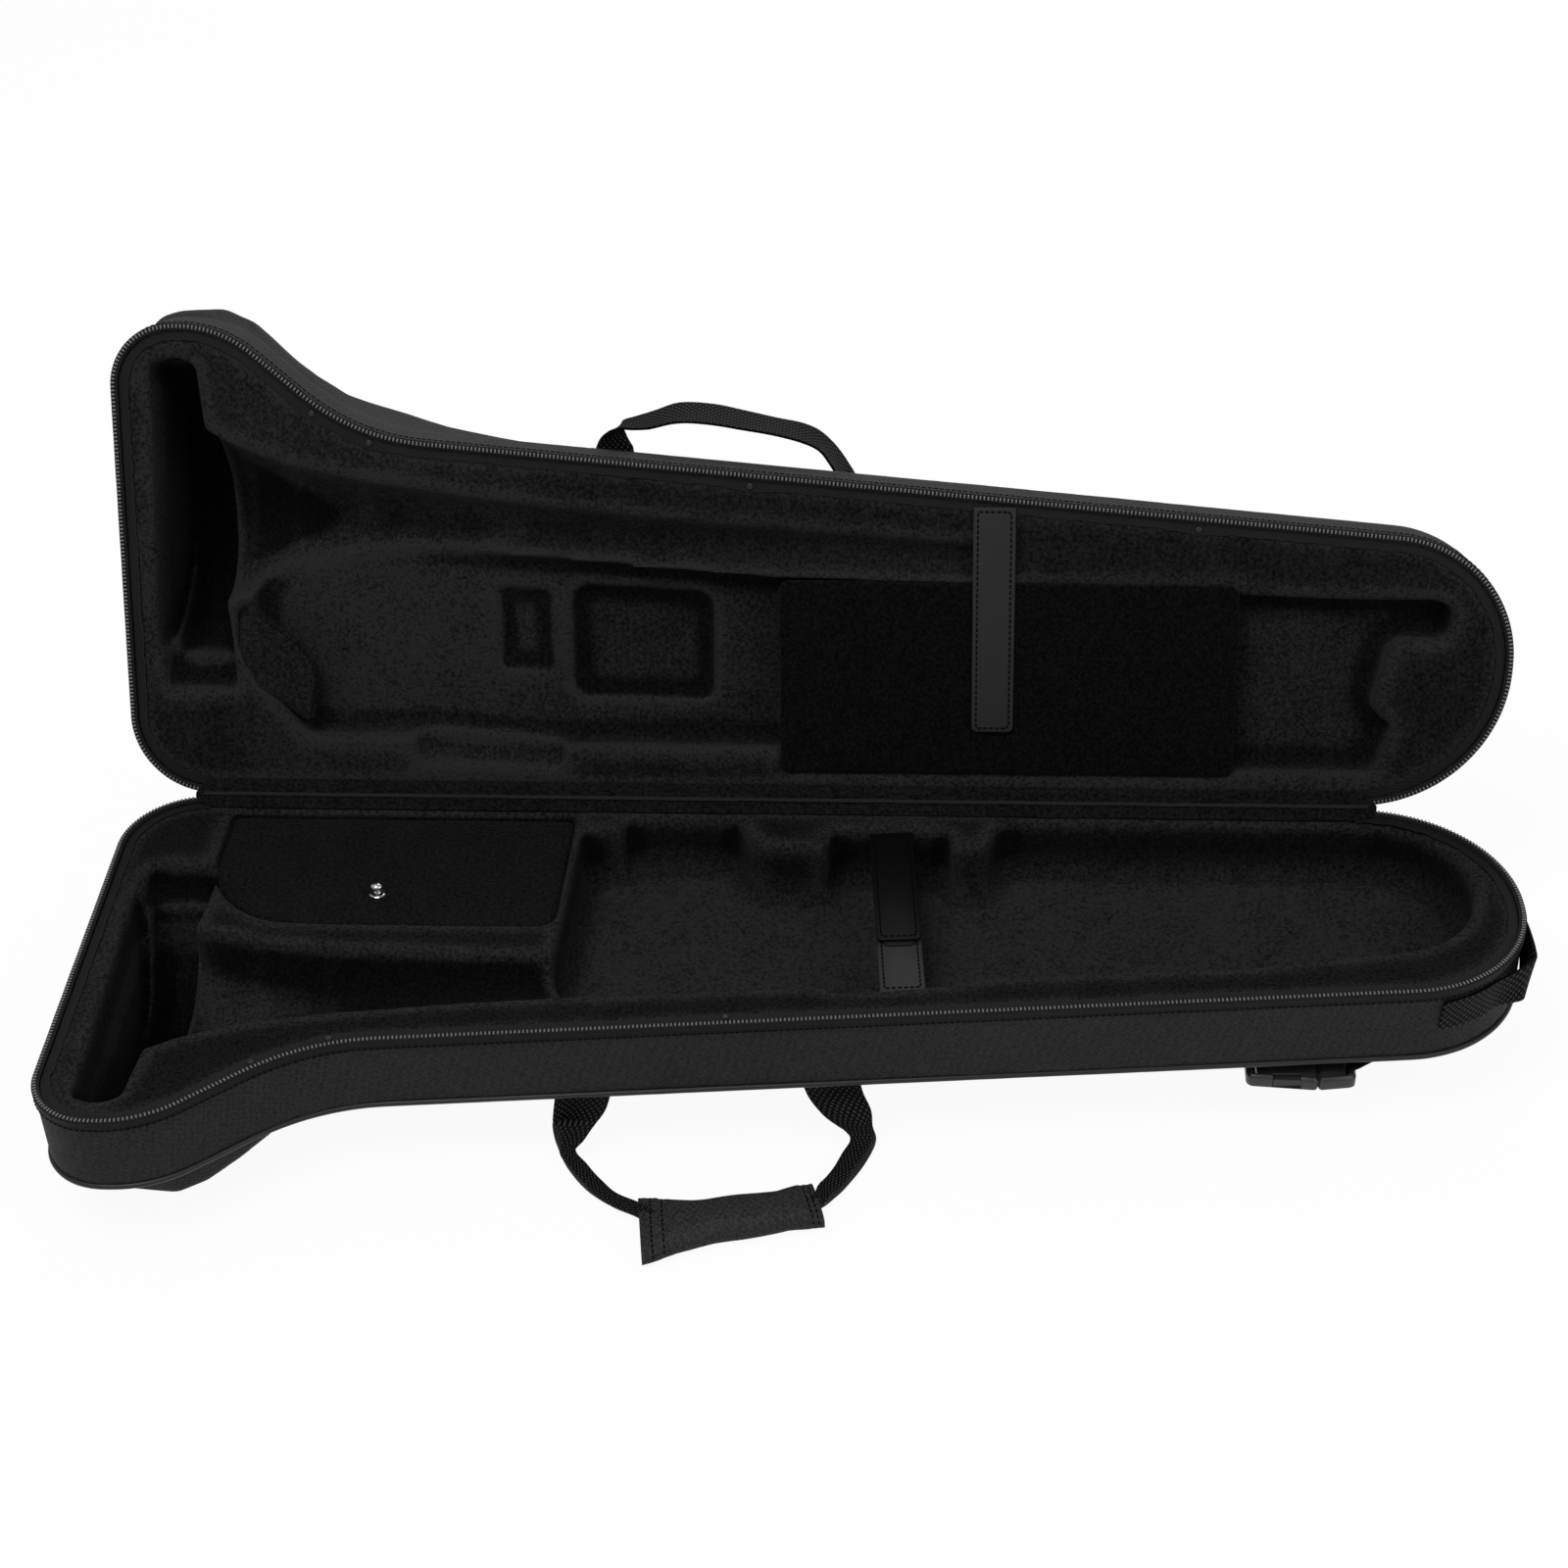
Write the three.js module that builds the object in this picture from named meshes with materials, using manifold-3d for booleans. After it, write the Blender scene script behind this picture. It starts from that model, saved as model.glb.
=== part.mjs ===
// Soft trombone case, open as it stands on a floor, in millimetres with +Z up.
// Two padded halves share one outline and meet at a zipper, with a fabric hinge along the straight back edge.
// Each half is modelled in its own frame: x from the bell end, y = 0 on the hinge line and negative towards
// the front, z = 0 on the rim plane and negative into the half. The lid is a mirrored half on the hinge.
import * as THREE from "three";
import { mergeVertices } from "three/addons/utils/BufferGeometryUtils.js";
import Module from "manifold-3d";

const wasm = await Module();
wasm.setup();

// Outline of the case, seen from above
const caseLength = 1000;
const bellEndWidth = 346;
const throatWidth = 267;
const tailWidth = 190;
const shoulderPlace = 88;
const throatPlace = 180;
const bellEndSlant = 9;
const hingeBellRadius = 56;
const bellFrontRadius = 46;
const shoulderRadius = 80;
const throatRadius = 150;
const tailFrontRadius = 90;
const tailHingeRadius = 104;
const fineStep = THREE.MathUtils.degToRad(12);
const coarseStep = THREE.MathUtils.degToRad(34);
const coarseRadius = 12;

// Depths, counted from the rim plane
const baseDepth = 62;
const lidDepth = 45;
const bellDepth = 116;
const shellWall = 4;
const panelWall = 3;
const rimDrop = 2.5;
const liningDrop = 4.5;
const edgeChamfer = 3;
const chamferHeight = 4;
const gap = 0.3;
const overrun = 1;

// Where the case stands
const hingeSetback = 110;
const rimHeight = bellDepth;
const lidOpen = THREE.MathUtils.degToRad(108.3);
const hingeOverhang = 2;

// Bell bulge of each half
const bulgeFlatLength = 78;
const baseBulgeLength = 232;
const lidBulgeLength = 335;
const bulgeRound = 13;

// Bell recess: a horn flare that narrows to a tube
const bellRadius = 110;
const bellPlace = 30;
const flareScale = 36;
const flarePower = 0.72;
const flareLength = 600;
const bellAxisSetback = 207;
const bellAxisSlope = 0.05;
const rimSlotStart = 34;
const rimSlotEndBack = 80;
const rimSlotEndFront = 67;
const rimSlotReach = 112;
const rimSlotDepth = 110;
const rimTrayDepth = 26;

// Moulded recesses
const channelDepth = 50;
const slideDepth = 27;
const trayRound = 7;
const recessLip = 3.5;
const tightRound = 6;
const mediumRound = 14;
const wideRound = 40;
const tailRound = 66;
const accessoryRound = 72;
const accessoryLeft = 76;
const accessoryRight = 330;
const accessoryBack = 12;
const accessoryFront = 137;
const accessoryDepth = 50;
const doorSeatDepth = 14.6;
const doorLedge = 8;
const doorThickness = 5;
const doorGap = 1;
const smallWellDepth = 33;
const largeWellDepth = 36;
const barWellDepth = 20;

// Slide cover and its strap in the lid
const coverLeft = 480;
const coverRight = 808;
const coverBack = 18;
const coverFront = 160;
const coverDrop = 3.6;
const coverThickness = 5;
const coverEdgeRound = 7;
const coverSeatGap = 1;
const strapThickness = 2.2;
const strapRound = 4;
const slideStrapPlace = 634;
const slideStrapWidth = 30;
const slideStrapLength = 166;
const slideStrapRootSetback = 6.5;
const slideStrapDrop = 1;

// Crook pad
const padDrop = 5;
const padThickness = 6;
const padEdge = 2;
const padMargin = 4;

// Instrument strap in the base
const baseStrapPlace = 562;
const baseStrapWidth = 31;
const baseStrapTurn = THREE.MathUtils.degToRad(-4.5);
const upperStrapRoot = 26.8;
const upperStrapTip = 146;
const lowerStrapRoot = 195.4;
const lowerStrapTip = 126;
const baseStrapDrop = 6;
const hookLength = 16;
const hookThickness = 1;

// Accessory knob
const knobPlace = 199;
const knobSetback = 100;
const knobHeadRadius = 4.6;
const knobHeight = 8;
const knobStemRadius = 2;
const knobPlateRadius = 6;
const knobPlateThickness = 0.8;

// Zipper, flange and rivets
const bandHeight = 7;
const bandThickness = 1.2;
const chainWidth = 3;
const chainDrop = 0.35;
const tapeDrop = 1.3;
const flangeWidth = 8;
const flangeThickness = 0.6;
const flangeDrop = 3.6;
const rivetRadius = 2.6;
const rivetHeight = 1.2;
const sliderLength = 14;
const sliderWidth = 4.5;
const sliderHeight = 8;
const sliderDrop = 3;
const sliderInset = 8;
const pullLength = 26;
const pullWidth = 8;
const pullThickness = 1.6;

// Piping and hinge fabric
const pipingRadius = 2.2;
const basePipingInset = -0.5;
const lidPipingInset = 2.2;
const pipingSides = 8;
const hingeStripEnds = 3;
const hingeWebEnds = 14;
const fabricThickness = 1;
const hingeStripWidth = 9;
const hingeStripSag = 1.5;
const webDrop = 12;

// Pack under the base
const packStart = 300;
const packEnd = 742;
const packBackSetback = 4;
const packFrontSetback = 68;
const packRound = 30;
const packEdge = 6;

// Webbing and handles
const webbingThickness = 2;
const webbingWidth = 38;
const footLeft = 360;
const footRight = 527;
const runLength = 60;
const footClearance = 3.5;
const gripPlace = 461;
const gripLength = 116;
const gripWidth = 38;
const gripThickness = 20;
const gripReach = 70;
const gripTurn = THREE.MathUtils.degToRad(9.5);
const gripCorner = 7;
const legWidth = 24;
const legBowLeft = 11;
const legBowRight = 21;
const legEndShift = 9;
const floorGap = 0.4;
const lidHandleWidth = 26;
const lidHandleHeight = 31;
const lidFootLeft = 362;
const lidFootRight = 531;

// Grab loop at the tail
const loopWidth = 25;
const loopDrop = 11.5;
const loopStandOff = 10;
const loopFrontLength = 62;
const loopBackSetback = 62;

// Side-release buckle under the front edge
const buckleWidth = 38;
const buckleThickness = 11;
const socketLength = 48;
const plugBaseLength = 26;
const prongLength = 30;
const prongWidth = 7;
const prongThickness = 6;
const prongGap = 0.5;
const guideWidth = 5;
const windowLength = 19;
const windowDepth = 6.5;
const buckleJoint = 857;
const buckleDrop = 9;
const buckleOverhang = 7;
const buckleSewnShift = 9;
const buckleWall = 2;
const buckleBar = 3.4;
const buckleSlot = 4;
const buckleCorner = 5;
const buckleWebbingWidth = 24;
const buckleWebbingRun = 34;

// Finishes
const finish = {
  twill: { color: "#242424", roughness: 0.85, metalness: 0 },
  plush: { color: "#161616", roughness: 1, metalness: 0 },
  leatherette: { color: "#262626", roughness: 0.55, metalness: 0 },
  webbing: { color: "#1a1a1a", roughness: 0.8, metalness: 0 },
  zipper: { color: "#2c2c2c", roughness: 0.5, metalness: 0 },
  plastic: { color: "#1b1b1b", roughness: 0.4, metalness: 0 },
  chrome: { color: "#d8d8d8", roughness: 0.15, metalness: 1 },
};

// Geometry helpers

function signedVolume(geometry) {
  const p = geometry.getAttribute("position");
  const index = geometry.index.array;
  const a = new THREE.Vector3();
  const b = new THREE.Vector3();
  const c = new THREE.Vector3();
  let volume = 0;
  for (let i = 0; i < index.length; i += 3) {
    a.fromBufferAttribute(p, index[i]);
    b.fromBufferAttribute(p, index[i + 1]);
    c.fromBufferAttribute(p, index[i + 2]);
    volume += a.dot(b.cross(c)) / 6;
  }
  return volume;
}

// A geometry as a solid whose faces point out
function solid(source) {
  const bare = source.clone();
  bare.deleteAttribute("normal");
  bare.deleteAttribute("uv");
  const geometry = mergeVertices(bare);
  const triVerts = new Uint32Array(geometry.index.array);
  if (signedVolume(geometry) < 0) triVerts.reverse();
  const vertProperties = new Float32Array(geometry.getAttribute("position").array);
  return new wasm.Manifold(new wasm.Mesh({ numProp: 3, vertProperties, triVerts }));
}

function geometryOf(body) {
  const { vertProperties, triVerts, numProp } = body.getMesh();
  const positions = new Float32Array((vertProperties.length / numProp) * 3);
  for (let i = 0; i < positions.length / 3; i++) {
    positions.set(vertProperties.subarray(i * numProp, i * numProp + 3), i * 3);
  }
  const geometry = new THREE.BufferGeometry();
  geometry.setAttribute("position", new THREE.BufferAttribute(positions, 3));
  geometry.setIndex(new THREE.BufferAttribute(triVerts, 1));
  geometry.computeVertexNormals();
  return geometry;
}

function piece(name, kind, body) {
  const mesh = new THREE.Mesh(geometryOf(body), new THREE.MeshStandardMaterial(finish[kind]));
  mesh.name = name;
  return mesh;
}

const joined = (first, ...others) => others.reduce((sum, next) => sum.add(next), first);
const cut = (first, ...others) => others.reduce((rest, next) => rest.subtract(next), first);

// Triangles that close a ring of points, wound the way the ring runs
function capFaces(ring) {
  const normal = new THREE.Vector3();
  ring.forEach((p, i) => normal.add(p.clone().cross(ring[(i + 1) % ring.length])));
  const [x, y, z] = normal.toArray().map(Math.abs);
  const flat = ring.map((p) => {
    if (z >= x && z >= y) return new THREE.Vector2(p.x, p.y);
    return x >= y ? new THREE.Vector2(p.y, p.z) : new THREE.Vector2(p.z, p.x);
  });
  const around = THREE.ShapeUtils.area(flat);
  return THREE.ShapeUtils.triangulateShape(flat, []).map(([i, j, k]) => {
    const same = THREE.ShapeUtils.area([flat[i], flat[j], flat[k]]) * around > 0;
    return same ? [i, j, k] : [k, j, i];
  });
}

// A closed body through rings that have one number of points
function loft(rings, closed = false) {
  const count = rings[0].length;
  const positions = rings.flat().flatMap((p) => [p.x, p.y, p.z]);
  const index = [];
  const bands = closed ? rings.length : rings.length - 1;
  for (let k = 0; k < bands; k++) {
    const next = ((k + 1) % rings.length) * count;
    for (let i = 0; i < count; i++) {
      const j = (i + 1) % count;
      index.push(k * count + i, k * count + j, next + j);
      index.push(k * count + i, next + j, next + i);
    }
  }
  if (!closed) {
    const last = (rings.length - 1) * count;
    capFaces(rings[0]).forEach(([i, j, k]) => index.push(k, j, i));
    capFaces(rings.at(-1)).forEach(([i, j, k]) => index.push(last + i, last + j, last + k));
  }
  const geometry = new THREE.BufferGeometry();
  geometry.setAttribute("position", new THREE.Float32BufferAttribute(positions, 3));
  geometry.setIndex(index);
  return solid(geometry);
}

const corner = (along, setback, radius) => ({ x: along, y: -setback, radius, size: radius });

// Moves each side of a corner table inwards, keeping the arcs concentric
function insetCorners(corners, distance) {
  const count = corners.length;
  const sides = corners.map((p, i) => {
    const q = corners[(i + 1) % count];
    const length = Math.hypot(q.x - p.x, q.y - p.y);
    const dx = (q.x - p.x) / length;
    const dy = (q.y - p.y) / length;
    return { x: p.x - dy * distance, y: p.y + dx * distance, dx, dy };
  });
  return corners.map((p, i) => {
    const a = sides[(i + count - 1) % count];
    const b = sides[i];
    const turn = a.dx * b.dy - a.dy * b.dx;
    const t = ((b.x - a.x) * b.dy - (b.y - a.y) * b.dx) / turn;
    const radius = p.size > 0 ? Math.max(p.radius - Math.sign(turn) * distance, gap) : 0;
    return { x: a.x + a.dx * t, y: a.y + a.dy * t, radius, size: p.size };
  });
}

// The points of a corner table with its corners rounded, anticlockwise seen from above. Where two arcs don't
// fit on the side between them, both are made smaller in proportion.
function roundedLoop(corners) {
  const count = corners.length;
  const bends = corners.map((p, i) => {
    const before = corners[(i + count - 1) % count];
    const after = corners[(i + 1) % count];
    const here = new THREE.Vector2(p.x, p.y);
    const back = new THREE.Vector2(before.x, before.y).sub(here);
    const ahead = new THREE.Vector2(after.x, after.y).sub(here);
    const side = ahead.length();
    const turn = Math.PI - back.angleTo(ahead);
    const wish = p.radius * Math.tan(turn / 2);
    return { here, back: back.normalize(), ahead: ahead.normalize(), side, turn, wish };
  });
  return corners.flatMap((p, i) => {
    const { here, back, ahead, side: after, turn, wish } = bends[i];
    if (p.size === 0) return [here];
    const previous = bends[(i + count - 1) % count];
    const next = bends[(i + 1) % count];
    const room = Math.min(1, after / (wish + next.wish), previous.side / (wish + previous.wish));
    const reach = wish * room;
    const radius = reach / Math.tan(turn / 2);
    const middle = back.clone().add(ahead).normalize().multiplyScalar(radius / Math.cos(turn / 2)).add(here);
    const start = back.multiplyScalar(reach).add(here).sub(middle);
    const side = Math.sign(start.cross(ahead.multiplyScalar(reach).add(here).sub(middle)));
    const steps = Math.ceil(turn / (p.size < coarseRadius ? coarseStep : fineStep));
    return Array.from({ length: steps + 1 }, (_, k) =>
      start.clone().rotateAround(new THREE.Vector2(), (side * turn * k) / steps).add(middle),
    );
  });
}

const ringAt = (loop, z) => loop.map((p) => new THREE.Vector3(p.x, p.y, z));
const insetLoop = (corners, distance) => roundedLoop(insetCorners(corners, distance));

// A plate with a corner table's outline between two heights
function plate(corners, low, high, inset = 0) {
  const loop = insetLoop(corners, inset);
  return loft([ringAt(loop, low), ringAt(loop, high)]);
}

// A plate whose lower and upper edges are eased
function pad(corners, low, high, ease, inset = 0) {
  return loft([
    ringAt(insetLoop(corners, inset + ease), low),
    ringAt(insetLoop(corners, inset), low + ease),
    ringAt(insetLoop(corners, inset), high - ease),
    ringAt(insetLoop(corners, inset + ease), high),
  ]);
}

// A cutter for a moulded recess with a rounded floor and a soft lip
function recess(corners, depth) {
  return loft([
    ringAt(insetLoop(corners, trayRound), -depth),
    ringAt(insetLoop(corners, trayRound * (1 - Math.SQRT1_2)), -depth + trayRound * (1 - Math.SQRT1_2)),
    ringAt(insetLoop(corners, 0), -depth + trayRound),
    ringAt(insetLoop(corners, 0), -liningDrop - recessLip),
    ringAt(insetLoop(corners, -recessLip * (1 - Math.SQRT1_2)), -liningDrop - recessLip * (1 - Math.SQRT1_2)),
    ringAt(insetLoop(corners, -recessLip), -liningDrop),
    ringAt(insetLoop(corners, -recessLip), overrun),
  ]);
}

// A strip of webbing through stations, each with its middle, its side direction and its width
function ribbon(stations, thickness) {
  const places = stations.map((s) => new THREE.Vector3(...s.at));
  const rings = stations.map((s, i) => {
    const ahead = places[Math.min(i + 1, places.length - 1)];
    const behind = places[Math.max(i - 1, 0)];
    const along = ahead.clone().sub(behind).normalize();
    const side = new THREE.Vector3(...s.side).normalize();
    const face = along.clone().cross(side).normalize();
    const half = side.multiplyScalar(s.width / 2);
    const rise = face.multiplyScalar(thickness / 2);
    return [
      [-1, -1],
      [1, -1],
      [1, 1],
      [-1, 1],
    ].map(([a, b]) => places[i].clone().addScaledVector(half, a).addScaledVector(rise, b));
  });
  return loft(rings);
}

// The same strip, led through its stations as one smooth curve
function smoothRibbon(stations, thickness, steps) {
  const path = new THREE.CatmullRomCurve3(stations.map((s) => new THREE.Vector3(...s.at)));
  const sides = new THREE.CatmullRomCurve3(stations.map((s) => new THREE.Vector3(...s.side)));
  const widths = new THREE.CatmullRomCurve3(stations.map((s) => new THREE.Vector3(s.width, 0, 0)));
  const places = Array.from({ length: steps + 1 }, (_, i) => i / steps);
  return ribbon(
    places.map((t) => ({
      at: path.getPoint(t).toArray(),
      side: sides.getPoint(t).toArray(),
      width: widths.getPoint(t).x,
    })),
    thickness,
  );
}

// A turned shape about +Z from radius and height pairs
function turned(profile, segments) {
  const points = profile.map(([radius, height]) => new THREE.Vector2(radius, height));
  return solid(new THREE.LatheGeometry(points, segments).rotateX(Math.PI / 2));
}

const moved = (body, x, y, z) => body.translate([x, y, z]);

function block(low, high) {
  const size = high.map((value, i) => value - low[i]);
  const box = new THREE.BoxGeometry(...size);
  box.translate(...low.map((value, i) => value + size[i] / 2));
  return solid(box);
}

// Outline of both halves

const outlineCorners = [
  corner(0, 0, hingeBellRadius),
  corner(bellEndSlant, bellEndWidth, bellFrontRadius),
  corner(shoulderPlace, bellEndWidth, shoulderRadius),
  corner(throatPlace, throatWidth, throatRadius),
  corner(caseLength, tailWidth, tailFrontRadius),
  corner(caseLength, 0, tailHingeRadius),
];

const outline = (inset) => insetLoop(outlineCorners, inset);

// Distance from the hinge line to the straight-sided front edge
function widthAt(along) {
  if (along <= shoulderPlace) return bellEndWidth;
  if (along <= throatPlace) {
    return THREE.MathUtils.mapLinear(along, shoulderPlace, throatPlace, bellEndWidth, throatWidth);
  }
  return THREE.MathUtils.mapLinear(along, throatPlace, caseLength, throatWidth, tailWidth);
}

// The same distance to the rounded front edge, moved inwards
function edgeAt(along, inset) {
  const edge = outline(inset).filter((p) => p.y < -tailHingeRadius);
  const k = edge.findIndex((p, i) => i === edge.length - 2 || edge[i + 1].x > along);
  return -THREE.MathUtils.mapLinear(along, edge[k].x, edge[k + 1].x, edge[k].y, edge[k + 1].y);
}

// A corner table from shares of the case length and of the local width
const sharedCorners = (table) =>
  table.map(([lengthShare, widthShare, radius]) => {
    const along = lengthShare * caseLength;
    return corner(along, widthShare * widthAt(along), radius);
  });

// Shells

// Sections of a bulge: shares of its length and of its own depth, and of the bell end's width for the
// setbacks from the front edge and from the hinge line
const baseBulgeShares = [
  [0.034, 1, 0.09, 0.243],
  [0.065, 1, 0.09, 0.243],
  [0.336, 1, 0.09, 0.243],
  [0.418, 0.965, 0.09, 0.266],
  [0.509, 0.842, 0.09, 0.292],
  [0.616, 0.624, 0.09, 0.323],
  [0.72, 0.376, 0.09, 0.353],
  [0.853, 0.115, 0.09, 0.392],
  [1, 0, 0.09, 0.434],
];
const lidBulgeShares = [
  [0.024, 1, 0.02, 0.243],
  [0.045, 1, 0.016, 0.243],
  [0.179, 1, 0.012, 0.243],
  [0.233, 1, 0.014, 0.243],
  [0.269, 1, 0.026, 0.25],
  [0.307, 1, 0.036, 0.26],
  [0.343, 1, 0.041, 0.27],
  [0.379, 1, 0.04, 0.28],
  [0.445, 1, 0.028, 0.3],
  [0.507, 1, 0.011, 0.315],
  [0.585, 1, 0.004, 0.335],
  [0.636, 0.87, 0.005, 0.35],
  [0.687, 0.67, 0.004, 0.365],
  [0.746, 0.49, 0.004, 0.385],
  [0.821, 0.3, 0.004, 0.41],
  [0.896, 0.14, 0.004, 0.43],
  [1, 0, 0.004, 0.45],
];

const baseHalf = {
  depth: baseDepth,
  bulgeLength: baseBulgeLength,
  bulgeShares: baseBulgeShares,
  pipingInset: basePipingInset,
};
const lidHalf = {
  depth: lidDepth,
  bulgeLength: lidBulgeLength,
  bulgeShares: lidBulgeShares,
  pipingInset: lidPipingInset,
};

// The bulge that makes room for the bell, as a row of sections from the bell end towards the throat
function bulge(half, wall) {
  const top = -half.depth + panelWall + (wall > 0 ? overrun : 0);
  const last = half.bulgeShares.length - 1;
  const rings = half.bulgeShares.map(([lengthShare, depthShare, frontShare, backShare], i) => {
    const place = lengthShare * half.bulgeLength + (i < 2 ? wall : 0);
    const along = place - (i === last ? wall : 0);
    const fadeLength = half.bulgeLength - bulgeFlatLength;
    const fade = THREE.MathUtils.clamp((place - bulgeFlatLength) / fadeLength, 0, 1);
    const height = (bellDepth - half.depth) * depthShare;
    const end = i === 0 ? height * 0.12 : 0;
    const edge = edgeAt(place + bellEndSlant * (1 - fade), 0);
    const front = -edge + frontShare * bellEndWidth + wall;
    const back = -backShare * bellEndWidth - wall;
    const ease = bulgeRound * (0.4 + 0.6 * depthShare);
    const bottom = -half.depth - height + end + wall;
    const slant = (y) => (bellEndSlant * (1 - fade) * -y) / bellEndWidth;
    const points = [
      [back, top],
      [back, bottom + 2 * ease],
      [back - ease * 0.35, bottom + ease * 0.8],
      [back - ease, bottom + ease * 0.22],
      [back - 1.9 * ease, bottom],
      [front + 1.9 * ease, bottom],
      [front + ease, bottom + ease * 0.22],
      [front + ease * 0.35, bottom + ease * 0.8],
      [front, bottom + 2 * ease],
      [front, top],
    ];
    const inner = points.length - 1;
    return points.map(([y, z], k) => {
      const limit = k > 0 && k < inner ? top - gap : top;
      return new THREE.Vector3(along + slant(y), y, Math.min(z, limit));
    });
  });
  return loft(rings);
}

function shellBody(half) {
  const outer = loft([
    ringAt(outline(edgeChamfer), -half.depth),
    ringAt(outline(0), -half.depth + chamferHeight),
    ringAt(outline(0), -rimDrop),
  ]);
  const cavity = loft([
    ringAt(outline(shellWall + edgeChamfer), -half.depth + panelWall),
    ringAt(outline(shellWall), -half.depth + panelWall + chamferHeight),
    ringAt(outline(shellWall), overrun),
  ]);
  return cut(joined(outer, bulge(half, 0)), joined(cavity, bulge(half, panelWall)));
}

// Height of a cord's middle where it lies against the eased edge, on the slope or on the corner below it
function pipingDrop(half) {
  const slope = Math.hypot(edgeChamfer, chamferHeight);
  const clear = pipingRadius + gap;
  const past = edgeChamfer - half.pipingInset;
  if (past < (clear * chamferHeight) / slope) return -half.depth - Math.sqrt(clear ** 2 - past ** 2);
  const rise = ((edgeChamfer / 2 - half.pipingInset) * chamferHeight - clear * slope) / edgeChamfer;
  return -half.depth + chamferHeight / 2 + rise;
}

// A cord round the eased edge of the outer face
function pipingBody(half) {
  const drop = pipingDrop(half);
  const rails = Array.from({ length: pipingSides }, (_, k) => {
    const angle = (2 * Math.PI * k) / pipingSides;
    const ring = outline(half.pipingInset - pipingRadius * Math.cos(angle));
    return ringAt(ring, drop + pipingRadius * Math.sin(angle));
  });
  return loft(rails, true);
}

// The lid's cord, left out along the front of the bulge, which takes the edge there
function lidPipingBody() {
  const span = lidBulgeLength + pipingRadius;
  const low = [-pipingRadius, -bellEndWidth - bulgeRound, -bellDepth];
  const high = [span, -bellEndWidth / 2, 0];
  return cut(pipingBody(lidHalf), block(low, high));
}

// Sweeps a section of outward offsets and heights along the outline, hinge edge left out
function rimSweep(section) {
  const rails = section.map(([outward, z]) => ringAt(outline(-outward), z));
  const stations = rails[0].map((_, i) => rails.map((rail) => rail[i]));
  return loft(stations);
}

const zipperBody = () =>
  rimSweep([
    [gap + bandThickness, -bandHeight - rimDrop],
    [gap + bandThickness, -tapeDrop],
    [gap, -chainDrop],
    [gap - chainWidth, -chainDrop],
    [gap - chainWidth - bandThickness, -tapeDrop],
    [-shellWall, -tapeDrop],
    [-shellWall, -rimDrop + gap],
    [gap, -rimDrop + gap],
    [gap, -bandHeight - rimDrop],
  ]);

const flangeBody = () =>
  rimSweep([
    [-shellWall - gap, -flangeDrop - flangeThickness],
    [-shellWall - gap, -flangeDrop],
    [-shellWall - gap - flangeWidth, -flangeDrop],
    [-shellWall - gap - flangeWidth, -flangeDrop - flangeThickness],
  ]);

// Linings

function bellHorn() {
  const flareAt = (distance) => bellRadius * (flareScale / (flareScale + distance)) ** flarePower;
  const flareShares = [0, 0.03, 0.06, 0.1, 0.16, 0.25, 0.4, 0.65, 1];
  const profile = [
    [0, 0],
    ...flareShares.map((share) => [flareAt(share * flareLength), share * flareLength]),
    [0, flareLength],
  ];
  const points = profile.map(([radius, along]) => new THREE.Vector2(radius, along));
  const horn = new THREE.LatheGeometry(points, 36).rotateZ(-Math.PI / 2);
  horn.rotateZ(Math.atan(bellAxisSlope));
  horn.translate(bellPlace, -bellAxisSetback, 0);
  return solid(horn);
}

// The deep slot that takes the bell's rim
function bellRimSlot() {
  const steps = 40;
  const angles = Array.from({ length: steps }, (_, k) => (2 * Math.PI * k) / steps);
  const rings = [0, 1].map((end) =>
    angles.map((angle) => {
      const y = -bellAxisSetback + rimSlotReach * Math.cos(angle);
      const share = 0.5 - 0.5 * Math.cos(angle);
      const far = THREE.MathUtils.lerp(rimSlotEndBack, rimSlotEndFront, share);
      return new THREE.Vector3(end ? far : rimSlotStart, y, rimSlotDepth * Math.sin(angle));
    }),
  );
  return loft(rings);
}

// The shallow tray round that slot
const rimTrayShares = [
  [0.029, 0.223, tightRound],
  [0.036, 0.928, mediumRound],
  [0.067, 0.928, mediumRound],
  [0.081, 0.223, tightRound],
];

function liningBlank(half) {
  const low = -half.depth + panelWall + gap;
  const block = loft([
    ringAt(outline(shellWall + edgeChamfer + gap), low),
    ringAt(outline(shellWall + gap), low + chamferHeight),
    ringAt(outline(shellWall + gap), -liningDrop),
  ]);
  return joined(block, bulge(half, panelWall + gap));
}

const accessoryCorners = [
  corner(accessoryLeft, accessoryBack, tightRound),
  corner(accessoryLeft, accessoryFront, accessoryRound),
  corner(accessoryRight, accessoryFront, mediumRound),
  corner(accessoryRight, accessoryBack, tightRound),
];

const channelShares = [
  [0.337, 0.115, tightRound],
  [0.333, 0.845, wideRound],
  [0.519, 0.83, mediumRound],
  [0.531, 0.868, mediumRound],
  [0.61, 0.846, mediumRound],
  [0.624, 0.822, mediumRound],
  [0.668, 0.82, wideRound],
  [0.806, 0.815, wideRound],
  [0.969, 0.73, tailRound],
  [0.969, 0.06, tailRound],
  [0.64, 0.06, mediumRound],
  [0.63, 0.2, tightRound],
  [0.607, 0.21, tightRound],
  [0.604, 0.112, tightRound],
  [0.519, 0.108, tightRound],
  [0.515, 0.205, tightRound],
  [0.464, 0.19, mediumRound],
  [0.45, 0.06, tightRound],
  [0.37, 0.06, tightRound],
  [0.366, 0.11, tightRound],
];

const rimTray = () => recess(sharedCorners(rimTrayShares), rimTrayDepth);

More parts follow.
